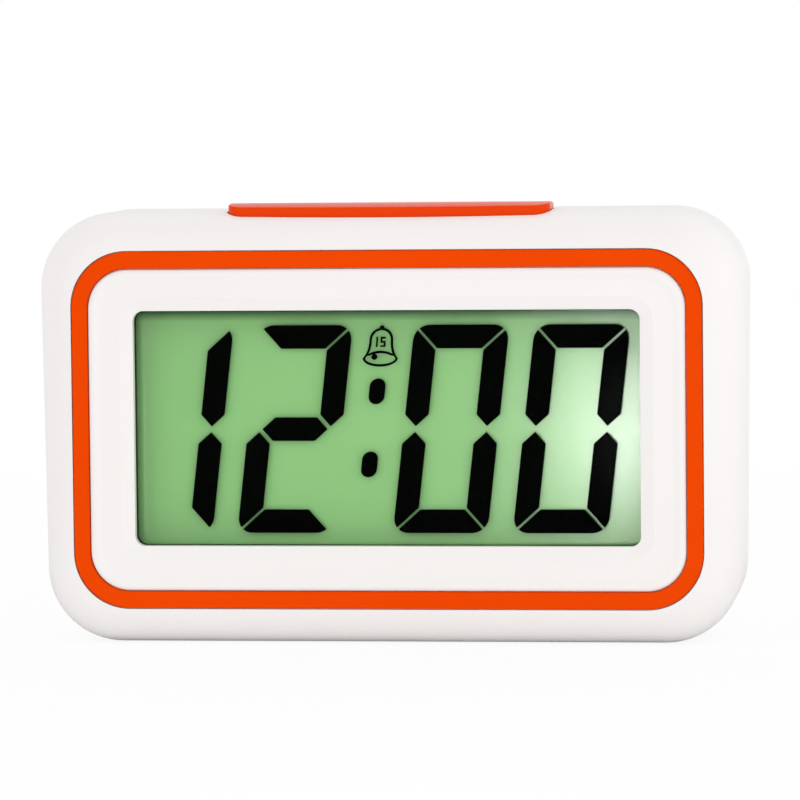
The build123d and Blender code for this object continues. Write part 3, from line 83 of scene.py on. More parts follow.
class NodeBench:
    """Lays out the nodes of one shader tree from left to right."""

    left_side = -1400.0
    spacing = 190.0
    shader_place = (1400.0, 0.0)
    output_place = (1800.0, 0.0)

    def __init__(self, tree: Tree) -> None:
        """Keeps the tree and starts at its left side."""
        self.tree = tree
        self.across = self.left_side

    def feed(self, node: Node, name: str | int, value: object) -> None:
        """Joins or sets one input of a node.

        Args:
            node: The node that takes the value.
            name: The input's name or its number.
            value: An output socket, a colour or a number.
        """
        socket = node.inputs[name]
        if isinstance(value, Socket):
            self.tree.links.new(value, socket)
        elif isinstance(value, tuple) and socket.type == "RGBA":
            socket.default_value = (*value, 1.0)
        else:
            socket.default_value = value

    def fill(self, node: Node, inputs: dict[str | int, object]) -> None:
        """Joins or sets several inputs of a node."""
        for name, value in inputs.items():
            self.feed(node, name, value)

    def put(
        self, kind: str, inputs: dict[str | int, object] | None = None, **settings: object
    ) -> Node:
        """Adds a node.

        Args:
            kind: The node's type name without "ShaderNode".
            inputs: Values or sockets for its inputs.
            settings: The node's own settings.

        Returns:
            The new node.
        """
        node = self.tree.nodes.new("ShaderNode" + kind)
        self.across += self.spacing
        node.location = (self.across, 0.0)
        for name, value in settings.items():
            setattr(node, name, value)
        self.fill(node, inputs or {})
        return node

    def group(self, tree: Tree, inputs: dict[str | int, object]) -> Node:
        """Places a shared group and feeds its inputs."""
        return self.put("Group", inputs, node_tree=tree)

    def maths(
        self, operation: str, first: object, second: object = 0.0, **settings: object
    ) -> Socket:
        """Adds a Math node.

        Args:
            operation: The Math node's operation.
            first: Its first value or socket.
            second: Its second value or socket.
            settings: The node's own settings.

        Returns:
            The result's socket.
        """
        values = {0: first, 1: second}
        return self.put("Math", values, operation=operation, **settings).outputs[0]

    def blend(self, share: object, first: object, second: object) -> Socket:
        """Mixes two colours.

        Args:
            share: How much of the second colour shows, as a value or socket.
            first: The first colour.
            second: The second colour.

        Returns:
            The mixed colour's socket.
        """
        return self.put("Mix", {0: share, 6: first, 7: second}, data_type="RGBA").outputs[2]

    def band(
        self, value: object, low: float, high: float, start: object = 0.0, end: object = 1.0
    ) -> Socket:
        """Maps a value's band onto another, clamped.

        Args:
            value: The value or socket to map.
            low: The value that gives start.
            high: The value that gives end.
            start: The result at low.
            end: The result at high.

        Returns:
            The mapped value's socket.
        """
        inputs = {"Value": value, "From Min": low, "From Max": high, "To Min": start, "To Max": end}
        return self.put("MapRange", inputs, clamp=True).outputs["Result"]

    def place(self) -> Socket:
        """Gives the socket of the Object coordinates."""
        return self.put("TexCoord").outputs["Object"]

    def axis(self, name: str, vector: Socket | None = None) -> Socket:
        """Gives one axis of a vector, or of the Object coordinates."""
        source = self.place() if vector is None else vector
        return self.put("SeparateXYZ", {0: source}).outputs[name]

    def noise(self, place: object, size: object, detail: float = 2.0) -> Socket:
        """Adds a noise pattern.

        Args:
            place: The coordinates that it reads.
            size: The pattern's scale, as a value or socket.
            detail: Its number of finer layers.

        Returns:
            The pattern's value, from 0 to 1.
        """
        inputs = {"Vector": place, "Scale": size, "Detail": detail}
        return self.put("TexNoise", inputs).outputs[0]


class SharedEffects:
    """The node groups that the finishes share, each built once."""

    sheen_size = 0.03
    sheen_band = (0.3, 0.7)
    patch_band = (0.35, 0.65)
    edge_band = (0.52, 0.62)
    rub_scale = 900.0
    rub_band = (0.35, 0.6)
    flat_band = (0.6, 1.0)
    speck_scale = 700.0
    speck_band = (0.4, 0.75)

    def open(
        self, name: str, inputs: dict[str, str], outputs: dict[str, str]
    ) -> tuple[NodeBench, Node, Node]:
        """Starts a node group.

        Args:
            name: The group's name.
            inputs: Its inputs, name to kind of socket.
            outputs: Its outputs, name to kind of socket.

        Returns:
            The bench for its nodes, its input node and its output node.
        """
        tree = bpy.data.node_groups.new(name, "ShaderNodeTree")
        for way, sockets in (("INPUT", inputs), ("OUTPUT", outputs)):
            for label, kind in sockets.items():
                tree.interface.new_socket(name=label, in_out=way, socket_type="NodeSocket" + kind)
        into, out = tree.nodes.new("NodeGroupInput"), tree.nodes.new("NodeGroupOutput")
        return NodeBench(tree), into, out

    @cache
    def grain(self) -> Tree:
        """The fine texture that a mould leaves, and its uneven gloss.

        Returns:
            The group.
        """
        names = ("Grain Scale", "Grain Height", "Roughness", "Spread")
        outputs = {"Height": "Float", "Roughness": "Float"}
        bench, into, out = self.open("moulded_grain", dict.fromkeys(names, "Float"), outputs)
        scale, height, roughness, spread = (into.outputs[name] for name in names)
        place = bench.place()
        bench.feed(out, "Height", bench.maths("MULTIPLY", bench.noise(place, scale, 3.0), height))
        broad = bench.noise(place, bench.maths("MULTIPLY", scale, self.sheen_size), 4.0)
        swing = bench.maths("MULTIPLY", bench.band(broad, *self.sheen_band, -1.0, 1.0), spread)
        bench.feed(out, "Roughness", bench.maths("ADD", swing, roughness, use_clamp=True))
        return bench.tree

    @cache
    def tone(self) -> Tree:
        """A slow drift between two tones of one material.

        Returns:
            The group.
        """
        inputs = {"Colour": "Color", "Second Colour": "Color", "Patch Scale": "Float"}
        bench, into, out = self.open("tone_drift", inputs, {"Colour": "Color"})
        first, second, scale = (into.outputs[name] for name in inputs)
        patches = bench.band(bench.noise(bench.place(), scale, 3.0), *self.patch_band)
        bench.feed(out, "Colour", bench.blend(patches, first, second))
        return bench.tree

    @cache
    def wear_and_highlight(self) -> Tree:
        """Paler edges where a surface turns sharply: rubbed wear, and a painted highlight along the
        convex edges.

        Returns:
            The group.
        """
        inputs = {"Colour": "Color", "Worn And Highlit Colour": "Color", "Amount": "Float"}
        bench, into, out = self.open("edge_wear_and_highlight", inputs, {"Colour": "Color", "Mask": "Float"})
        colour, worn_and_highlit_colour, amount = (into.outputs[name] for name in inputs)
        # painted highlight: convex edges, found by pointiness, are lightened; the rub noise below
        # breaks this up as wear
        edge = bench.band(bench.put("NewGeometry").outputs["Pointiness"], *self.edge_band)
        rubbed = bench.band(bench.noise(bench.place(), self.rub_scale), *self.rub_band)
        broken = bench.maths("MULTIPLY", edge, rubbed)
        mask = bench.maths("MULTIPLY", broken, amount, use_clamp=True)
        bench.feed(out, "Mask", mask)
        bench.feed(out, "Colour", bench.blend(mask, colour, worn_and_highlit_colour))
        return bench.tree

    @cache
    def dust(self) -> Tree:
        """A thin film of dust on what faces upwards.

        Returns:
            The group.
        """
        inputs = {"Colour": "Color", "Dust Colour": "Color", "Amount": "Float"}
        bench, into, out = self.open("settled_dust", inputs, {"Colour": "Color"})
        colour, dust, amount = (into.outputs[name] for name in inputs)
        up = bench.axis("Z", bench.put("NewGeometry").outputs["Normal"])
        flat = bench.band(up, *self.flat_band)
        specks = bench.band(bench.noise(bench.place(), self.speck_scale, 5.0), *self.speck_band)
        film = bench.maths("MULTIPLY", bench.maths("MULTIPLY", flat, specks), amount)
        bench.feed(out, "Colour", bench.blend(film, colour, dust))
        return bench.tree


EFFECTS = SharedEffects()


def clear_bench(owner: Material | bpy.types.World) -> NodeBench:
    """Empties the nodes of a material or world and gives their bench.

    Args:
        owner: The material or world.

    Returns:
        The bench for its new nodes.
    """
    owner.use_nodes = True
    owner.node_tree.nodes.clear()
    return NodeBench(owner.node_tree)


def open_material(name: str) -> tuple[Material, NodeBench, Node, Node]:
    """Starts a material with one Principled shader.

    Args:
        name: The material's name.

    Returns:
        The material, its bench, its Principled node and its output node.
    """
    material = bpy.data.materials.new(name)
    bench = clear_bench(material)
    shader = bench.tree.nodes.new("ShaderNodeBsdfPrincipled")
    output = bench.tree.nodes.new("ShaderNodeOutputMaterial")
    shader.location, output.location = bench.shader_place, bench.output_place
    bench.feed(output, "Surface", shader.outputs[0])
    return material, bench, shader, output


@dataclass(frozen=True)
class Finish:
    """A moulded, stamped or sprayed surface.

    The colour drifts to a second tone, the gloss is uneven, the surface keeps the
    mould's grain, its edges wear and carry a painted highlight, and dust settles on
    what faces upwards.
    """

    name: str
    colour: Colour
    second: Colour
    roughness: float = 0.4
    spread: float = 0.04
    specular: float = 0.5
    ior: float = 1.5
    metallic: float = 0.0
    patch: float = 12.0
    grain: float = 0.35
    height: float = 0.0012
    # colour and amount of the paler edges: rubbed wear together with a painted edge highlight
    worn_and_highlit_colour: Colour = (0.9, 0.9, 0.9)
    wear_and_highlight: float = 0.0
    dust_colour: Colour = (0.6, 0.57, 0.53)
    dust: float = 0.0

    def colours(self, bench: NodeBench) -> Socket:
        """Gives the clean surface's colour socket.

        Args:
            bench: The material's bench.

        Returns:
            The colour's socket.
        """
        scale = 1.0 / (self.patch * MM)
        drift = {"Colour": self.colour, "Second Colour": self.second, "Patch Scale": scale}
        return bench.group(EFFECTS.tone(), drift).outputs["Colour"]

    def relief(self, bench: NodeBench, grain: Socket) -> Socket:
        """Gives the height socket that the bump reads, here the grain alone."""
        return grain

    def make(self) -> Material:
        """Builds the material.

        Returns:
            The finished material.
        """
        material, bench, shader, _ = open_material(self.name)
        colour = self.colours(bench)
        # paler edges: rubbed wear mixed with a painted highlight on the convex edges
        if self.wear_and_highlight > 0.0:
            values = {"Colour": colour, "Worn And Highlit Colour": self.worn_and_highlit_colour, "Amount": self.wear_and_highlight}
            colour = bench.group(EFFECTS.wear_and_highlight(), values).outputs["Colour"]
        if self.dust > 0.0:
            values = {"Colour": colour, "Dust Colour": self.dust_colour, "Amount": self.dust}
            colour = bench.group(EFFECTS.dust(), values).outputs["Colour"]
        values = {
            "Grain Scale": 1.0 / (self.grain * MM),
            "Grain Height": self.height * MM,
            "Roughness": self.roughness,
            "Spread": self.spread,
        }
        grain = bench.group(EFFECTS.grain(), values)
        height = self.relief(bench, grain.outputs["Height"])
        bump = bench.put("Bump", {"Height": height, "Distance": 1.0, "Strength": 1.0})
        look = {
            "Base Color": colour,
            "Roughness": grain.outputs["Roughness"],
            "Normal": bump.outputs["Normal"],
            "Specular IOR Level": self.specular,
            "IOR": self.ior,
            "Metallic": self.metallic,
        }
        bench.fill(shader, look)
        return material


@dataclass(frozen=True)
class SolderedBoard(Finish):
    """Green solder mask over copper tracks, with tinned pads."""

    track: Colour = (0.06, 0.30, 0.11)
    pad: Colour = (0.62, 0.60, 0.55)
    track_pitch: float = 3.2
    wander: float = 0.75
    track_edge: Pair = (0.05, 0.09)
    pad_edge: Pair = (0.13, 0.16)

    def colours(self, bench: NodeBench) -> Socket:
        """Gives the colour of mask, tracks and pads.

        Args:
            bench: The material's bench.

        Returns:
            The colour's socket.
        """
        mask = super().colours(bench)
        scale = 1.0 / (self.track_pitch * MM)
        cells = {"Vector": bench.place(), "Scale": scale, "Randomness": self.wander}
        walk, spots = (
            bench.put("TexVoronoi", cells, feature=kind, distance="EUCLIDEAN").outputs["Distance"]
            for kind in ("DISTANCE_TO_EDGE", "F1")
        )
        tracks = bench.band(walk, *self.track_edge, 1.0, 0.0)
        pads = bench.band(spots, *self.pad_edge, 1.0, 0.0)
        return bench.blend(pads, bench.blend(tracks, mask, self.track), self.pad)


@dataclass(frozen=True)
class SeamedShell(Finish):
    """A two-part shell with a fine line where the halves meet across Y: shade painted into its
    colour there, and a shallow groove sunk in its bump.
    """

    seam: float = 0.0
    seam_width: float = 0.16
    # painted shade: this dark colour stands in for the shadow in the gap between the two halves
    seam_shade_colour: Colour = (0.33, 0.31, 0.3)

    def near_seam(self, bench: NodeBench) -> Socket:
        """Gives a socket that rises to 1 at the seam."""
        away = bench.maths("ABSOLUTE", bench.maths("SUBTRACT", bench.axis("Y"), self.seam * MM))
        return bench.band(away, self.seam_width * MM / 4, self.seam_width * MM / 2, 1.0, 0.0)

    def colours(self, bench: NodeBench) -> Socket:
        """Gives the shell's colour, with painted shade along its seam."""
        return bench.blend(self.near_seam(bench), super().colours(bench), self.seam_shade_colour)

    def relief(self, bench: NodeBench, grain: Socket) -> Socket:
        """Gives the grain's height, sunk along the seam."""
        sunk = bench.maths("MULTIPLY", self.near_seam(bench), self.seam_width * MM / 2)
        return bench.maths("SUBTRACT", grain, sunk)


@dataclass(frozen=True)
class CellJacket(Finish):
    """A cell's plain jacket with one coloured band at its positive end."""

    band_colour: Colour = (0.75, 0.36, 0.06)
    band_from: float = 0.0
    band_to: float = 0.0

    def colours(self, bench: NodeBench) -> Socket:
        """Gives the jacket's colour with its band.

        Args:
            bench: The material's bench.

        Returns:
            The colour's socket.
        """
        body, across = super().colours(bench), bench.axis("X")
        after = bench.maths("GREATER_THAN", across, self.band_from * MM)
        before = bench.maths("LESS_THAN", across, self.band_to * MM)
        return bench.blend(bench.maths("MULTIPLY", after, before), body, self.band_colour)


@dataclass(frozen=True)
class Foam(Finish):
    """Closed-cell foam with small open pores."""

    pore: float = 0.45
    pore_depth: float = 0.05

    def relief(self, bench: NodeBench, grain: Socket) -> Socket:
        """Gives the height of the pores over the grain.

        Args:
            bench: The material's bench.
            grain: The grain's height.

        Returns:
            The height's socket.
        """
        cells = {"Vector": bench.place(), "Scale": 1.0 / (self.pore * MM)}
        pores = bench.put("TexVoronoi", cells).outputs["Distance"]
        return bench.maths("ADD", bench.maths("MULTIPLY", pores, self.pore_depth * MM), grain)


@dataclass(frozen=True)
class StripedRubber(Finish):
    """Connector rubber in thin conducting and clear layers across X."""

    dark: Colour = (0.02, 0.02, 0.022)
    layer: float = 0.36
    dark_from: float = 0.5

    def colours(self, bench: NodeBench) -> Socket:
        """Gives the colour of the layers.

        Args:
            bench: The material's bench.

        Returns:
            The colour's socket.
        """
        layers = bench.maths("MULTIPLY", bench.axis("X"), 1.0 / (self.layer * MM))
        dark = bench.maths("GREATER_THAN", bench.maths("FRACT", layers), self.dark_from)
        return bench.blend(dark, super().colours(bench), self.dark)


@dataclass(frozen=True)
class RecessedSheet(Finish):
    """A sheet deep behind an opening, darker where the opening's lip keeps light off it."""

    left: float = 0.0
    top: float = 0.0
    side_reach: float = 1.9
    top_reach: float = 2.0
    side_shade: float = 0.7
    top_shade: float = 0.95
    shade: Colour = (0.0, 0.06, 0.005)

    def colours(self, bench: NodeBench) -> Socket:
        """Gives the sheet's colour, shaded along its left and upper edges.

        Args:
            bench: The material's bench.

        Returns:
            The colour's socket.
        """
        inside = bench.maths("SUBTRACT", bench.axis("X"), self.left * MM)
        below = bench.maths("SUBTRACT", self.top * MM, bench.axis("Z"))
        side = bench.band(inside, 0.0, self.side_reach * MM, 1.0 - self.side_shade, 1.0)
        upper = bench.band(below, 0.0, self.top_reach * MM, 1.0 - self.top_shade, 1.0)
        lit = bench.maths("MULTIPLY", side, upper)
        return bench.blend(lit, self.shade, super().colours(bench))


@dataclass(frozen=True)
class ClearPlastic:
    """Clear plastic that light passes on its way to what is behind it."""

    name: str
    tint: Colour
    roughness: float
    ior: float
    grain_scale: float = 900.0
    spread: float = 0.01

    def make(self) -> Material:
        """Builds the material.

        Returns:
            The finished material.
        """
        material, bench, shader, output = open_material(self.name)
        values = {
            "Grain Scale": self.grain_scale,
            "Grain Height": 0.0,
            "Roughness": self.roughness,
            "Spread": self.spread,
        }
        gloss = bench.group(EFFECTS.grain(), values).outputs["Roughness"]
        look = {
            "Base Color": self.tint,
            "Roughness": gloss,
            "Transmission Weight": 1.0,
            "IOR": self.ior,
        }
        bench.fill(shader, look)
        light = bench.put("LightPath").outputs
        passing = bench.put("BsdfTransparent", {"Color": self.tint}).outputs[0]
        seen = shader.outputs[0]
        for ray in ("Is Shadow Ray", "Is Diffuse Ray"):
            seen = bench.put("MixShader", {0: light[ray], 1: seen, 2: passing}).outputs[0]
        bench.feed(output, "Surface", seen)
        return material


@dataclass(frozen=True)
class ThinFilm:
    """A film or glass inside the display, seen mostly by its faint tint."""

    name: str
    tint: Colour
    cover: float
    roughness: float = 0.2
    specular: float = 0.0
    haze_scale: float = 60.0
    haze_band: Pair = (0.3, 0.7)
    thinnest: float = 0.9
    thickest: float = 1.1

    def make(self) -> Material:
        """Builds the material.

        Returns:
            The finished material.
        """
        material, bench, shader, _ = open_material(self.name)
        haze = bench.noise(bench.place(), self.haze_scale, 3.0)
        thin, thick = self.cover * self.thinnest, self.cover * self.thickest
        look = {
            "Base Color": self.tint,
            "Alpha": bench.band(haze, *self.haze_band, thin, thick),
            "Roughness": self.roughness,
            "Specular IOR Level": self.specular,
        }
        bench.fill(shader, look)
        return material


AnyFinish = Finish | ClearPlastic | ThinFilm


class Cupboard:
    """Keeps one material for each finish, under the finish's name."""

    def __init__(self) -> None:
        """Starts empty."""
        self.made: dict[str, Material] = {}

    def material(self, finish: AnyFinish) -> Material:
        """Gives the finish's material, built on first use.

        Args:
            finish: The finish to give.

        Returns:
            Its material.
        """
        if finish.name not in self.made:
            self.made[finish.name] = finish.make()
        return self.made[finish.name]

    def dress(self, finish: AnyFinish, *nodes: str) -> None:
        """Gives CAD nodes a finish.

        Args:
            finish: The finish that covers them.
            nodes: The CAD nodes' names.
        """
        material = self.material(finish)
        for node in nodes:
            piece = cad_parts[node]
            for slot in piece.material_slots:
                slot.material = material
            if not piece.material_slots:
                piece.data.materials.append(material)
            log.info("%s finished in %s", node, finish.name)


CUPBOARD = Cupboard()


def put_in_scene(name: str, data: bpy.types.ID) -> bpy.types.Object:
    """Adds an object with this data to the scene.

    Args:
        name: The object's name.
        data: Its mesh, lamp or camera data.

    Returns:
        The object.
    """
    thing = bpy.data.objects.new(name, data)
    bpy.context.scene.collection.objects.link(thing)
    return thing


@dataclass(frozen=True)
class NewPiece:
    """Where a remade piece belongs: its name, body and finish, with a material slot name that is
    not used.

    The CAD nodes that it stands for are those in nodes, or the node of its own name.
    """

    name: str
    slot: str
    finish: AnyFinish
    nodes: tuple[str, ...] = ()
    body: str = "casing"
    crease: float = 32.0

    def build(self, shape: Shape) -> bpy.types.Object:
        """Turns a finished shape into the piece.

        Args:
            shape: The shape in millimetres, in the clock's frame.

        Returns:
            The new object.
        """
        bmesh.ops.remove_doubles(shape, verts=shape.verts, dist=WELD)
        bmesh.ops.recalc_face_normals(shape, faces=shape.faces)
        bmesh.ops.scale(shape, vec=Vector((MM, MM, MM)), verts=shape.verts)
        for face in shape.faces:
            face.smooth = True
        for edge in shape.edges:
            edge.smooth = edge.calc_face_angle(0.0) < math.radians(self.crease)
        mesh = bpy.data.meshes.new(self.name)
        shape.to_mesh(mesh)
        shape.free()
        piece = put_in_scene(self.name, mesh)
        mesh.materials.append(CUPBOARD.material(self.finish))
        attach(piece, self.body)
        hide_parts(*(self.nodes or (self.name,)))
        log.info("%s made anew", self.name)
        return piece


def node_box(node: str) -> tuple[Vector, Vector]:
    """Gives a CAD node's lowest and highest corners in millimetres."""
    low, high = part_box(node)
    return low / MM, high / MM


def front_middle(low: Vector, high: Vector) -> Vector:
    """Gives the middle of the front face of a box."""
    return Vector(((low.x + high.x) / 2, low.y, (low.z + high.z) / 2))


def run_back(edge: bmesh.types.BMEdge) -> float:
    """Gives how far an edge runs from the front to the back."""
    return abs(edge.verts[0].co.y - edge.verts[1].co.y)


def block(low: Vector, high: Vector, corner: float, edge: float) -> Shape:
    """Makes a block with rounded corners seen from the front and eased edges.

    Args:
        low: Its lowest corner.
        high: Its highest corner.
        corner: The radius of its four corners.
        edge: The width of the bevel round its front and back.

    Returns:
        The block's shape.
    """
    corner_faces, edge_faces = 4, 2
    shape = bmesh.new()
    bmesh.ops.create_cube(shape, size=1.0)
    bmesh.ops.scale(shape, vec=high - low, verts=shape.verts)
    bmesh.ops.translate(shape, vec=(low + high) / 2, verts=shape.verts)
    along = [item for item in shape.edges if run_back(item) > (high.y - low.y) / 2]
    ease(shape, along, corner, corner_faces)
    rim = [item for item in shape.edges if run_back(item) < edge / 2]
    ease(shape, rim, edge, edge_faces)
    return shape


def ease(shape: Shape, edges: list[bmesh.types.BMEdge], width: float, segments: int) -> None:
    """Rounds or bevels edges of a shape.

    Args:
        shape: The shape.
        edges: The edges to round.
        width: How far the rounding reaches.
        segments: The number of faces across it.
    """
    bmesh.ops.bevel(
        shape,
        geom=edges,
        offset=width,
        offset_type="OFFSET",
        segments=segments,
        profile=0.5,
        affect="EDGES",
        clamp_overlap=True,
        material=-1,
    )


def settle(shape: Shape, foot: Vector, along: Vector) -> Shape:
    """Turns a shape made about Z so that it stands on a foot and points along a line.

    Args:
        shape: The shape, standing on the origin.
        foot: Where its foot goes.
        along: The way that its height points.

    Returns:
        The same shape, settled.
    """
    turn = along.to_track_quat("Z", "Y").to_matrix().to_4x4()
    bmesh.ops.transform(shape, matrix=Matrix.Translation(foot) @ turn, verts=shape.verts)
    return shape


def lathe(profile: tuple[Pair, ...], segments: int = 48, closed: bool = False) -> Shape:
    """Turns a profile about Z.

    Args:
        profile: Radius and height of each of its points.
        segments: The number of faces round the axis.
        closed: Whether its last point joins its first.

    Returns:
        The turned shape, standing on the origin.
    """
    shape = bmesh.new()
    verts = [shape.verts.new((radius, 0.0, height)) for radius, height in profile]
    pairs = list(zip(verts, verts[1:])) + ([(verts[-1], verts[0])] if closed else [])
    geom = verts + [shape.edges.new(pair) for pair in pairs]
    full = 2.0 * math.pi
    bmesh.ops.spin(shape, geom=geom, angle=full, steps=segments, use_merge=True, **ABOUT_Z)
    return shape


def coil(radius: float, wire: float, stages: tuple[Pair, ...], narrowing: float = 0.0) -> Shape:
    """Winds a round wire about Z.

    Args:
        radius: The radius of the wire's middle in its first turn.
        wire: The wire's thickness.
        stages: Turns and rise of each stretch, from the foot.
        narrowing: How much smaller the radius is at the top.

    Returns:
        The spring, standing on the origin.
    """
    sides, steps_a_turn = 10, 28
    shape = bmesh.new()
    bmesh.ops.create_circle(shape, segments=sides, radius=wire / 2)
    upright = Matrix.Rotation(math.pi / 2, 3, "X")
    bmesh.ops.rotate(shape, verts=shape.verts, cent=ABOUT_Z["cent"], matrix=upright)
    bmesh.ops.translate(shape, verts=shape.verts, vec=(radius, 0.0, wire / 2))
    end = list(shape.verts) + list(shape.edges)
    for turns, rise in stages:
        steps = round(turns * steps_a_turn)
        lift = (0.0, 0.0, rise / steps)
        angle = turns * 2.0 * math.pi
        made = bmesh.ops.spin(shape, geom=end, dvec=lift, angle=angle, steps=steps, **ABOUT_Z)
        end = made["geom_last"]
    bmesh.ops.holes_fill(shape, edges=[edge for edge in shape.edges if edge.is_boundary], sides=0)
    height = max(vert.co.z for vert in shape.verts)
    for vert in shape.verts:
        outwards = Vector((vert.co.x, vert.co.y, 0.0)).normalized()
        vert.co -= outwards * narrowing * vert.co.z / height
    return shape


def outline(width: float, height: float, corner: float, segments: int) -> list[Pair]:
    """Gives the points of a rounded rectangle about its middle.

    Args:
        width: Its width.
        height: Its height.
        corner: The radius of its corners, half the width for a circle.
        segments: The number of edges round each corner.

    Returns:
        Across and up of each point.
    """
    points = []
    for quarter, (across, up) in enumerate(((1, 1), (-1, 1), (-1, -1), (1, -1))):
        for step in range(segments + 1):
            angle = (quarter + step / segments) * math.pi / 2
            x = across * (width / 2 - corner) + corner * math.cos(angle)
            z = up * (height / 2 - corner) + corner * math.sin(angle)
            points.append((x, z))
    return points


def washer(
    outer: list[Pair], inner: list[Pair], middle: Vector, thickness: float, edge: float
) -> Shape:
    """Makes a flat ring that faces the front, with rounded edges.

    Args:
        outer: The points of its outer edge.
        inner: As many points for its inner edge.
        middle: The middle of its front face.
        thickness: How deep it is.
        edge: The rounding of its edges.

    Returns:
        The ring's shape.
    """
    shape = bmesh.new()
    for loop in (outer, inner):
        verts = [shape.verts.new((middle.x + x, middle.y, middle.z + z)) for x, z in loop]
        for pair in zip(verts, verts[1:] + verts[:1]):
            shape.edges.new(pair)
    bmesh.ops.remove_doubles(shape, verts=shape.verts, dist=WELD)
    bmesh.ops.bridge_loops(shape, edges=shape.edges[:])
    made = bmesh.ops.extrude_face_region(shape, geom=shape.faces[:], use_keep_orig=True)
    back = [item for item in made["geom"] if isinstance(item, bmesh.types.BMVert)]
    bmesh.ops.translate(shape, verts=back, vec=(0.0, thickness, 0.0))
    bmesh.ops.recalc_face_normals(shape, faces=shape.faces)
    crease, edge_faces = math.radians(WASHER_CREASE), 3
    rim = [item for item in shape.edges if item.calc_face_angle(0.0) > crease]
    ease(shape, rim, edge, edge_faces)
    return shape


@dataclass
class Casing:
    """The two white shells, their screws and the orange ring."""

    white: SeamedShell = SeamedShell(
        "white_casing", colour=(0.875, 0.848, 0.838), second=(0.868, 0.838, 0.826), seam=1.6,
        roughness=0.38, spread=0.03, patch=45.0, grain=0.32, height=0.0016, dust=0.05,
    )
    orange: Finish = Finish(
        "orange_trim", colour=(0.82, 0.062, 0.0), second=(0.8, 0.058, 0.0),
        roughness=0.42, specular=0.02, patch=30.0, grain=0.4, height=0.001,
    )
    plated: Finish = Finish(
        "plated_steel", colour=(0.56, 0.55, 0.53), second=(0.48, 0.47, 0.46),
        roughness=0.34, spread=0.08, metallic=1.0, patch=2.0, grain=0.2, height=0.003,
        worn_and_highlit_colour=(0.75, 0.74, 0.72), wear_and_highlight=0.6,
    )

    def dress(self) -> None:
        """Finishes the casing's pieces."""
        CUPBOARD.dress(self.white, "front_shell", "rear_shell")
        CUPBOARD.dress(self.orange, "trim_ring")
        CUPBOARD.dress(self.plated, "casing_screws")


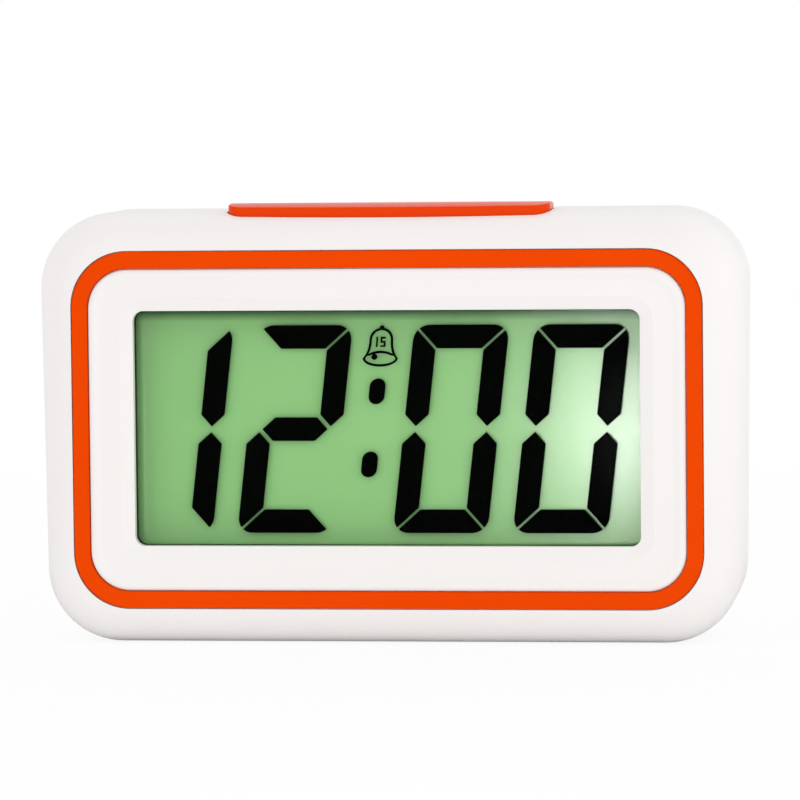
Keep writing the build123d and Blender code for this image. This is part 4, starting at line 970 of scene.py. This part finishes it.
@dataclass
class Display:
    """The window, the liquid-crystal stack behind it and its connector."""

    window: ClearPlastic = ClearPlastic(
        "clear_window", tint=(0.995, 0.997, 0.995), roughness=0.06, ior=1.02
    )
    film: ThinFilm = ThinFilm("polarizing_film", tint=(0.03, 0.035, 0.03), cover=0.012)
    glass: ThinFilm = ThinFilm("display_glass", tint=(0.03, 0.04, 0.032), cover=0.008)
    seal: Finish = Finish(
        "glass_seal", colour=(0.30, 0.36, 0.29), second=(0.26, 0.31, 0.25),
        roughness=0.5, patch=6.0,
    )
    reflector: RecessedSheet = RecessedSheet(
        "green_reflector", colour=(0.352, 0.755, 0.266), second=(0.344, 0.742, 0.259),
        roughness=0.165, spread=0.01, specular=1.0, ior=1.9, patch=60.0, grain=0.25,
        height=0.0003,
    )
    ink: Finish = Finish(
        "dark_segments", colour=(0.0004, 0.0008, 0.0004), second=(0.0003, 0.0006, 0.0003),
        roughness=0.4, spread=0.01, specular=0.0, patch=20.0, grain=0.3, height=0.0004,
    )
    frame_plastic: Finish = Finish(
        "inner_plastic", colour=(0.62, 0.61, 0.58), second=(0.57, 0.56, 0.53),
        roughness=0.5, spread=0.05, patch=14.0, grain=0.3, height=0.003,
    )
    foam: Foam = Foam(
        "black_foam", colour=(0.028, 0.028, 0.029), second=(0.018, 0.018, 0.019),
        roughness=0.85, patch=1.5,
    )
    connector: StripedRubber = StripedRubber(
        "connector_rubber", colour=(0.62, 0.60, 0.56), second=(0.57, 0.55, 0.51),
        roughness=0.6, patch=9.0,
    )

    air: float = 0.02
    ground_edge: float = 0.06
    glass_corner: float = 0.3
    lens_margin: float = 2.0
    window_rise: float = 0.27
    window_corner: float = 1.9
    lens_corner: float = 2.5
    gasket_round: float = 0.3
    gasket_arc_faces: int = 6
    sight_left: float = 1.1
    sight_down: float = 0.25

    def plates(self) -> None:
        """Makes the film and the two glasses, each a hair clear of its neighbours."""
        plates = (
            ("lcd_front_polarizer", "clear_window", self.film),
            ("lcd_front_glass", "glass", self.glass),
            ("lcd_rear_glass", "glass", self.glass),
        )
        for name, slot, finish in plates:
            low, high = node_box(name)
            gap = BACKWARDS * self.air
            shape = block(low + gap, high - gap, self.glass_corner, self.ground_edge)
            NewPiece(name + "_plate", slot, finish, (name,)).build(shape)

    def window_edges(self) -> tuple[Vector, Vector]:
        """Gives the lowest and highest corners of the opening in the panel.

        Returns:
            The two corners, at the depth of the lens's front and back.
        """
        low, high = node_box("display_window")
        margin, rise = (RIGHT + UP) * self.lens_margin, UP * self.window_rise
        return low + margin + rise, high - margin + rise

    def gasket(self) -> None:
        """Makes the foam frame that seals the lens against the display."""
        low, high = node_box("lcd_gasket")
        opening_low, opening_high = self.window_edges()
        size, hole = high - low, opening_high - opening_low
        lift = (opening_low.z + opening_high.z - low.z - high.z) / 2
        faces = self.gasket_arc_faces
        outer = outline(size.x, size.z, self.lens_corner, faces)
        inner = [(x, z + lift) for x, z in outline(hole.x, hole.z, self.window_corner, faces)]
        shape = washer(outer, inner, front_middle(low, high), size.y, self.gasket_round)
        NewPiece("lcd_gasket_foam", "black_foam", self.foam, ("lcd_gasket",)).build(shape)

    def strip(self) -> None:
        """Makes the layered rubber strip between the glass and the board."""
        shape = block(*node_box("zebra_connector"), self.ground_edge * 2, self.ground_edge)
        nodes = ("zebra_connector",)
        NewPiece("zebra_strip", "silicone_rubber", self.connector, nodes).build(shape)

    def dress(self) -> None:
        """Finishes the display's pieces."""
        self.plates()
        self.gasket()
        self.strip()
        low, high = self.window_edges()
        left, top = low.x - self.sight_left, high.z - self.sight_down
        CUPBOARD.dress(self.window, "display_window")
        segments = ("lcd_hour_digits", "lcd_minute_digits", "lcd_colon", "lcd_alarm_symbol")
        CUPBOARD.dress(self.ink, *segments)
        CUPBOARD.dress(self.seal, "lcd_seal")
        CUPBOARD.dress(replace(self.reflector, left=left, top=top), "lcd_reflector")
        CUPBOARD.dress(self.frame_plastic, "lcd_frame")


@dataclass
class TalkButton:
    """The orange talk button, its springs, rubber dome and contact board."""

    orange: Finish = Finish(
        "orange_button", colour=(0.8, 0.05, 0.0), second=(0.78, 0.047, 0.0), roughness=0.26,
        spread=0.03, specular=0.08, patch=24.0, grain=0.4, height=0.0008, dust=0.04,
    )

    across: float = 20.0
    middle: float = -7.2
    foot: float = 72.9
    travel: float = 1.2
    spring_length: float = 5.88
    spring_radius: float = 2.0
    wire: float = 0.5
    live_turns: float = 3.0
    end_rise: float = 0.54
    dome_play: float = 0.1
    dome: tuple[Pair, ...] = (
        (0.0, 0.0), (4.9, 0.0), (5.0, 0.1), (5.0, 0.65), (4.85, 0.8), (3.95, 0.8),
        (3.75, 0.95), (2.95, 2.0), (2.6, 2.15), (2.6, 2.35), (2.45, 2.5), (0.0, 2.5),
    )

    def springs(self) -> None:
        """Makes the two springs, with a closed turn at each end, that push the button up."""
        rise = self.spring_length - self.wire - 2 * self.end_rise
        closed = (1.0, self.end_rise)
        stages = (closed, (self.live_turns, rise), closed)
        for side, across in (("left", -self.across), ("right", self.across)):
            foot = Vector((across, self.middle, self.foot))
            shape = settle(coil(self.spring_radius, self.wire, stages), foot, UP)
            name, finish = f"talk_spring_{side}", Electronics.spring_steel
            piece = NewPiece(name, "steel", finish, ("talk_springs",)).build(shape)
            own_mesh(piece)

    def rubber_dome(self) -> None:
        """Makes the rubber dome that the button's plunger presses."""
        foot = Vector((0.0, self.middle, self.foot))
        shape = settle(lathe(self.dome), foot, UP)
        name, finish = "talk_dome_rubber", RearControls.silicone
        piece = NewPiece(name, "silicone_rubber", finish, ("talk_dome",)).build(shape)
        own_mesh(piece)

    def dress(self) -> None:
        """Finishes the button's pieces."""
        self.springs()
        self.rubber_dome()
        CUPBOARD.dress(self.orange, "talk_button")
        CUPBOARD.dress(Electronics.board, "talk_board")
        CUPBOARD.dress(Casing.plated, "talk_board_screws")
        CUPBOARD.dress(Electronics.black_sleeve, "talk_wires")


@dataclass
class RearControls:
    """The four setting buttons in the back, their keypad and board."""

    grey: Finish = Finish(
        "grey_buttons", colour=(0.552, 0.552, 0.545), second=(0.52, 0.52, 0.513),
        roughness=0.4, spread=0.05, patch=6.0, grain=0.3, height=0.002,
        worn_and_highlit_colour=(0.68, 0.68, 0.67), wear_and_highlight=0.35,
    )
    silicone: Finish = Finish(
        "silicone_rubber", colour=(0.35, 0.36, 0.37), second=(0.31, 0.32, 0.33), roughness=0.62,
        spread=0.06, specular=0.4, patch=5.0, grain=0.25, height=0.003, dust=0.12,
    )

    places: tuple[tuple[str, float], ...] = (
        ("set", -27.0), ("hour", -9.0), ("minute", 9.0), ("alarm", 27.0)
    )
    sheet_thickness: float = 0.8
    sheet_corner: float = 1.5
    sheet_edge: float = 0.2
    travel: float = 0.8
    play: float = 0.1
    dome_faces: int = 32
    dome: tuple[Pair, ...] = (
        (0.0, 0.0), (2.8, 0.0), (2.65, 0.15), (2.2, 1.05), (2.0, 1.25), (2.0, 1.65),
        (1.85, 1.8), (0.0, 1.8),
    )

    def keypad(self) -> None:
        """Makes the rubber keypad: a sheet and a dome under each button."""
        low, high = node_box("rear_keypad")
        face = low.y + self.sheet_thickness
        sheet = block(low, Vector((high.x, face, high.z)), self.sheet_corner, self.sheet_edge)
        looks = ("silicone_rubber", self.silicone, ("rear_keypad",))
        NewPiece("keypad_sheet", *looks).build(sheet)
        for key, across in self.places:
            foot = Vector((across, face, (low.z + high.z) / 2))
            shape = settle(lathe(self.dome, self.dome_faces), foot, BACKWARDS)
            piece = NewPiece(f"keypad_dome_{key}", *looks).build(shape)
            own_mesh(piece)

    def dress(self) -> None:
        """Finishes the pieces of the rear controls."""
        self.keypad()
        CUPBOARD.dress(self.grey, "set_button", "hour_button", "minute_button", "alarm_button")
        CUPBOARD.dress(Electronics.board, "key_board")
        CUPBOARD.dress(Casing.plated, "key_board_screws")
        CUPBOARD.dress(Electronics.black_sleeve, "key_wires")


@dataclass
class BatteryBay:
    """The battery door, the two cells, their contacts and wires."""

    jacket: CellJacket = CellJacket(
        "cell_jacket", colour=(0.05, 0.14, 0.36), second=(0.045, 0.125, 0.33), roughness=0.3,
        patch=12.0, grain=0.5, height=0.002, worn_and_highlit_colour=(0.5, 0.52, 0.56), wear_and_highlight=0.3,
    )

    depth: float = 9.85
    upper: float = 27.55
    lower: float = 16.45
    left_plate: float = -41.1
    right_plate: float = 9.1
    band: float = 12.0
    spring_length: float = 5.7
    spring_base: float = 3.4
    spring_tip: float = 2.3
    wire: float = 0.7
    live_turns: float = 4.0
    end_rise: float = 0.72
    jacket_end: float = 43.5
    can: tuple[Pair, ...] = (
        (0.0, 0.12), (3.2, 0.12), (3.5, 0.28), (4.3, 0.28), (4.5, 0.16), (4.8, 0.16),
        (5.1, 0.45), (5.1, 43.0), (4.85, 43.38), (4.5, 43.3), (3.9, 43.05), (2.6, 43.2),
        (2.0, 43.4), (1.9, 43.6), (1.9, 44.3), (1.72, 44.5), (0.0, 44.5),
    )
    sleeve: tuple[Pair, ...] = (
        (4.55, 0.02), (4.9, 0.0), (5.15, 0.12), (5.25, 0.4), (5.25, 43.1), (5.15, 43.38),
        (4.9, 43.5), (4.5, 43.48), (4.5, 43.42), (4.88, 43.42), (5.13, 43.05), (5.13, 0.42),
        (4.82, 0.1), (4.55, 0.1),
    )

    def cell(self, name: str, foot: Vector, along: Vector) -> None:
        """Makes one cell: a steel can with its nub, and the banded jacket shrunk round it.

        Args:
            name: The cell's node.
            foot: The middle of its flat end.
            along: The way from there to its nub.
        """
        can = settle(lathe(self.can), foot, along)
        NewPiece(name + "_can", "steel", Electronics.spring_steel, (name,)).build(can)
        end = foot + along * self.jacket_end
        start = end - along * self.band
        first, last = sorted((start.x, end.x))
        finish = replace(self.jacket, name=f"{name}_jacket", band_from=first, band_to=last)
        shape = settle(lathe(self.sleeve, closed=True), foot, along)
        NewPiece(name + "_jacket", "cell_jacket", finish, (name,)).build(shape)

    def power(self) -> None:
        """Makes the two cells and the conical springs behind their flat ends."""
        rise = self.spring_length - self.wire - self.end_rise
        stages = ((1.0, self.end_rise), (self.live_turns, rise))
        narrowing = self.spring_base - self.spring_tip
        looks = ("steel", Electronics.spring_steel, ("battery_springs",))
        upper = Vector((self.right_plate, self.depth, self.upper))
        lower = Vector((self.left_plate, self.depth, self.lower))
        rows = (("right", upper, -RIGHT, "battery_1"), ("left", lower, RIGHT, "battery_2"))
        for side, foot, along, cell in rows:
            shape = settle(coil(self.spring_base, self.wire, stages, narrowing), foot, along)
            NewPiece(f"battery_spring_{side}", *looks).build(shape)
            self.cell(cell, foot + along * self.spring_length, along)

    def dress(self) -> None:
        """Finishes the pieces of the battery bay."""
        self.power()
        CUPBOARD.dress(Casing.white, "battery_door")
        CUPBOARD.dress(Electronics.spring_steel, "battery_plates", "battery_link")
        CUPBOARD.dress(Electronics.red_sleeve, "battery_wire_red")
        CUPBOARD.dress(Electronics.black_sleeve, "battery_wire_black")


@dataclass
class Speaker:
    """The loudspeaker with its gasket, clamp and wires."""

    iron: Finish = Finish(
        "ferrite", colour=(0.10, 0.10, 0.11), second=(0.07, 0.07, 0.078),
        roughness=0.6, patch=3.0, height=0.006,
    )
    paper: Finish = Finish(
        "cone_paper", colour=(0.06, 0.06, 0.065), second=(0.045, 0.045, 0.05),
        roughness=0.88, patch=1.2, grain=0.2, height=0.012,
    )

    inner_radius: float = 17.05
    gasket_round: float = 0.2
    gasket_arc_faces: int = 16

    def gasket(self) -> None:
        """Makes the foam ring between the speaker's rim and the back of the casing."""
        low, high = node_box("speaker_gasket")
        outer, inner = (
            outline(2 * radius, 2 * radius, radius, self.gasket_arc_faces)
            for radius in ((high.x - low.x) / 2, self.inner_radius)
        )
        shape = washer(outer, inner, front_middle(low, high), high.y - low.y, self.gasket_round)
        nodes = ("speaker_gasket",)
        NewPiece("speaker_gasket_foam", "black_foam", Display.foam, nodes).build(shape)

    def dress(self) -> None:
        """Finishes the speaker's pieces."""
        self.gasket()
        CUPBOARD.dress(Casing.plated, "speaker_frame")
        CUPBOARD.dress(self.iron, "speaker_magnet")
        CUPBOARD.dress(self.paper, "speaker_cone")
        CUPBOARD.dress(Electronics.board, "speaker_terminals")
        CUPBOARD.dress(Display.frame_plastic, "speaker_clamp")
        CUPBOARD.dress(Casing.plated, "speaker_screws")
        CUPBOARD.dress(Electronics.red_sleeve, "speaker_wires")


@dataclass
class Electronics:
    """The main board and what is soldered to it."""

    board: SolderedBoard = SolderedBoard(
        "circuit_board", colour=(0.028, 0.17, 0.06), second=(0.024, 0.15, 0.052),
        roughness=0.36, patch=18.0, grain=0.5, height=0.004,
    )
    resin: Finish = Finish(
        "black_resin", colour=(0.02, 0.02, 0.02), second=(0.03, 0.03, 0.03),
        roughness=0.4, spread=0.1, patch=3.0, grain=0.4, height=0.006,
    )
    tan: Finish = Finish(
        "tan_lacquer", colour=(0.60, 0.42, 0.22), second=(0.52, 0.35, 0.17),
        roughness=0.42, patch=1.5, grain=0.3, height=0.005,
    )
    spring_steel: Finish = Finish(
        "nickel_spring", colour=(0.62, 0.61, 0.58), second=(0.55, 0.54, 0.51),
        roughness=0.28, spread=0.06, metallic=1.0, patch=2.0, grain=0.15, height=0.002,
        worn_and_highlit_colour=(0.8, 0.79, 0.76), wear_and_highlight=0.4,
    )
    red_sleeve: Finish = Finish(
        "red_sleeve", colour=(0.55, 0.02, 0.02), second=(0.48, 0.015, 0.015),
        roughness=0.45, patch=3.0,
    )
    black_sleeve: Finish = Finish(
        "black_sleeve", colour=(0.02, 0.02, 0.02), second=(0.03, 0.03, 0.03),
        roughness=0.45, patch=3.0,
    )

    def dress(self) -> None:
        """Finishes the pieces on the main board."""
        CUPBOARD.dress(self.board, "main_board")
        CUPBOARD.dress(Casing.plated, "main_board_screws")
        chips = ("clock_chip", "voice_chip", "speaker_transistor", "electrolytic_capacitor")
        CUPBOARD.dress(self.resin, *chips)
        CUPBOARD.dress(self.tan, "resistors", "ceramic_capacitors")
        CUPBOARD.dress(self.spring_steel, "quartz_crystal")


class LampShape(Enum):
    """The outline of a lamp's face."""

    PANEL = "RECTANGLE"
    OVAL = "ELLIPSE"


@dataclass
class Lamp:
    """One soft lamp that faces a point of the clock."""

    name: str
    place: Point
    aim: Point
    width: float
    height: float
    radiance: float
    shape: LampShape = LampShape.PANEL
    seen: bool = False

    def build(self) -> None:
        """Builds the lamp and turns it towards its aim."""
        light = bpy.data.lights.new(self.name, "AREA")
        light.shape = self.shape.value
        light.size, light.size_y = self.width * MM, self.height * MM
        area = light.size * light.size_y
        if self.shape is LampShape.OVAL:
            area *= math.pi / 4
        light.energy = self.radiance * area * math.pi
        lamp = put_in_scene(self.name, light)
        place, aim = Vector(self.place) * MM, Vector(self.aim) * MM
        turn = (aim - place).to_track_quat("-Z", "Y")
        lamp.matrix_world = Matrix.Translation(place) @ turn.to_matrix().to_4x4()
        lamp.visible_camera = False
        lamp.visible_glossy = lamp.visible_transmission = self.seen
        log.info("lamp %s placed", self.name)


@dataclass
class Studio:
    """The camera, the lamps, the pale floor and the white surroundings."""

    camera_place: Point = (113.94, -913.29, 105.07)
    camera_turn: Point = (86.2089, 0.5796, 7.0472)
    lens: float = 222.7
    sensor: float = 36.0
    nearest: float = 50.0
    farthest: float = 50000.0
    floor_radius: float = 2600.0
    floor_sides: int = 96
    floor_white: float = 0.9
    paper: Colour = (0.93, 0.93, 0.93)
    shadow_reach: float = 180.0
    shadow_end: float = 2.5
    table_light: float = 0.48
    glow_from: float = 13.0
    glow_to: float = 22.0
    surround: float = 0.93
    dark_side: float = 0.02
    turn_band: Pair = (-0.15, 0.35)
    glass_layers: int = 24

    def camera(self) -> None:
        """Sets the camera at the photograph's viewpoint."""
        data = bpy.data.cameras.new("studio_camera")
        data.lens, data.sensor_width = self.lens, self.sensor
        data.clip_start, data.clip_end = self.nearest * MM, self.farthest * MM
        camera = put_in_scene("studio_camera", data)
        turn = Euler([math.radians(angle) for angle in self.camera_turn], "XYZ")
        place = Matrix.Translation(Vector(self.camera_place) * MM)
        camera.matrix_world = place @ turn.to_matrix().to_4x4()
        bpy.context.scene.camera = camera

    def rays(self, bench: NodeBench) -> tuple[Socket, Socket]:
        """Tells the rays that the background is seen by.

        Args:
            bench: The bench of the floor's or the world's nodes.

        Returns:
            A socket that is 1 for camera rays, and one that is 1 for rays that a mirror
            or clear piece sends on before they meet a matt surface.
        """
        light = bench.put("LightPath").outputs
        glossy, clear = light["Is Glossy Ray"], light["Is Transmission Ray"]
        sent = bench.maths("ADD", glossy, clear, use_clamp=True)
        first = bench.maths("LESS_THAN", light["Diffuse Depth"], 0.5)
        return light["Is Camera Ray"], bench.maths("MULTIPLY", sent, first)

    def floor(self) -> None:
        """Makes the pale floor, white to the camera apart from the clock's soft shadow."""
        mesh = bpy.data.meshes.new("studio_floor")
        shape = bmesh.new()
        radius = self.floor_radius * MM
        bmesh.ops.create_circle(shape, cap_ends=True, segments=self.floor_sides, radius=radius)
        shape.to_mesh(mesh)
        shape.free()
        piece = put_in_scene("studio_floor", mesh)
        material = bpy.data.materials.new("floor_paper")
        bench = clear_bench(material)
        place = bench.place()
        near, far = self.shadow_reach * MM, self.shadow_end * self.shadow_reach * MM
        away = bench.put("VectorMath", {0: place}, operation="LENGTH").outputs["Value"]
        white = bench.band(away, near, far, self.floor_white, 1.0)
        depth = bench.axis("Y", place)
        behind = bench.band(depth, -near, near, self.dark_side, 1.0)
        camera, mirrored = self.rays(bench)
        paper = bench.put("BsdfDiffuse", {"Color": self.paper})
        bright = bench.blend(mirrored, WHITE, behind)
        glow = bench.put("Emission", {"Color": bright, "Strength": 1.0})
        lit = bench.maths("MULTIPLY", camera, white)
        seen = bench.maths("ADD", lit, mirrored, use_clamp=True)
        aside = bench.maths("ABSOLUTE", depth)
        glow_from, glow_to = self.glow_from * MM, self.glow_to * MM
        glowing = bench.band(aside, glow_from, glow_to, 0.0, self.table_light)
        share = bench.maths("MAXIMUM", seen, glowing)
        mix = bench.put("MixShader", {0: share, 1: paper.outputs[0], 2: glow.outputs[0]})
        bench.put("OutputMaterial", {"Surface": mix.outputs[0]})
        mesh.materials.append(material)

    def world(self) -> None:
        """Makes the surroundings: white to the camera and behind the clock, dim in front."""
        world = bpy.data.worlds.new("studio_world")
        bench = clear_bench(world)
        camera, mirrored = self.rays(bench)
        way = bench.axis("Y", bench.put("TexCoord").outputs["Generated"])
        behind = bench.band(way, *self.turn_band, self.dark_side, 1.0)
        soft = bench.blend(mirrored, (self.surround,) * 3, behind)
        white = bench.blend(camera, soft, WHITE)
        ground = bench.put("Background", {"Color": white, "Strength": 1.0})
        bench.put("OutputWorld", {"Surface": ground.outputs[0]})
        bpy.context.scene.world = world

    def lamps(self) -> None:
        """Places the lamps: a wide strip in front, a panel at the right and the window's glare."""
        middle = (0.0, 0.0, 40.0)
        lamps = (
            Lamp(
                "front_strip", place=(0.0, -1200.0, 60.0), aim=middle,
                width=1500.0, height=100.0, radiance=4.2,
            ),
            Lamp(
                "right_panel", place=(950.0, -200.0, 160.0), aim=middle,
                width=700.0, height=900.0, radiance=0.85, seen=True,
            ),
            Lamp(
                "window_glare", place=(23.0, -269.0, 20.5), aim=(43.0, -19.0, 39.0),
                width=12.0, height=32.0, radiance=18.0, shape=LampShape.OVAL, seen=True,
            ),
        )
        for lamp in lamps:
            lamp.build()

    def build(self) -> None:
        """Builds the whole studio."""
        self.camera()
        self.floor()
        self.world()
        self.lamps()
        scene = bpy.context.scene
        scene.view_settings.view_transform = "Standard"
        scene.cycles.transparent_max_bounces = self.glass_layers


def main() -> None:
    """Builds the studio and dresses the clock, piece by piece."""
    logging.basicConfig(level=logging.INFO, format="%(name)s: %(message)s")
    Studio().build()
    sub_assemblies = (
        Casing(), Display(), TalkButton(), RearControls(), BatteryBay(), Speaker(), Electronics()
    )
    for assembly in sub_assemblies:
        assembly.dress()
        log.info("%s ready", type(assembly).__name__)


if __name__ == "__main__":
    main()
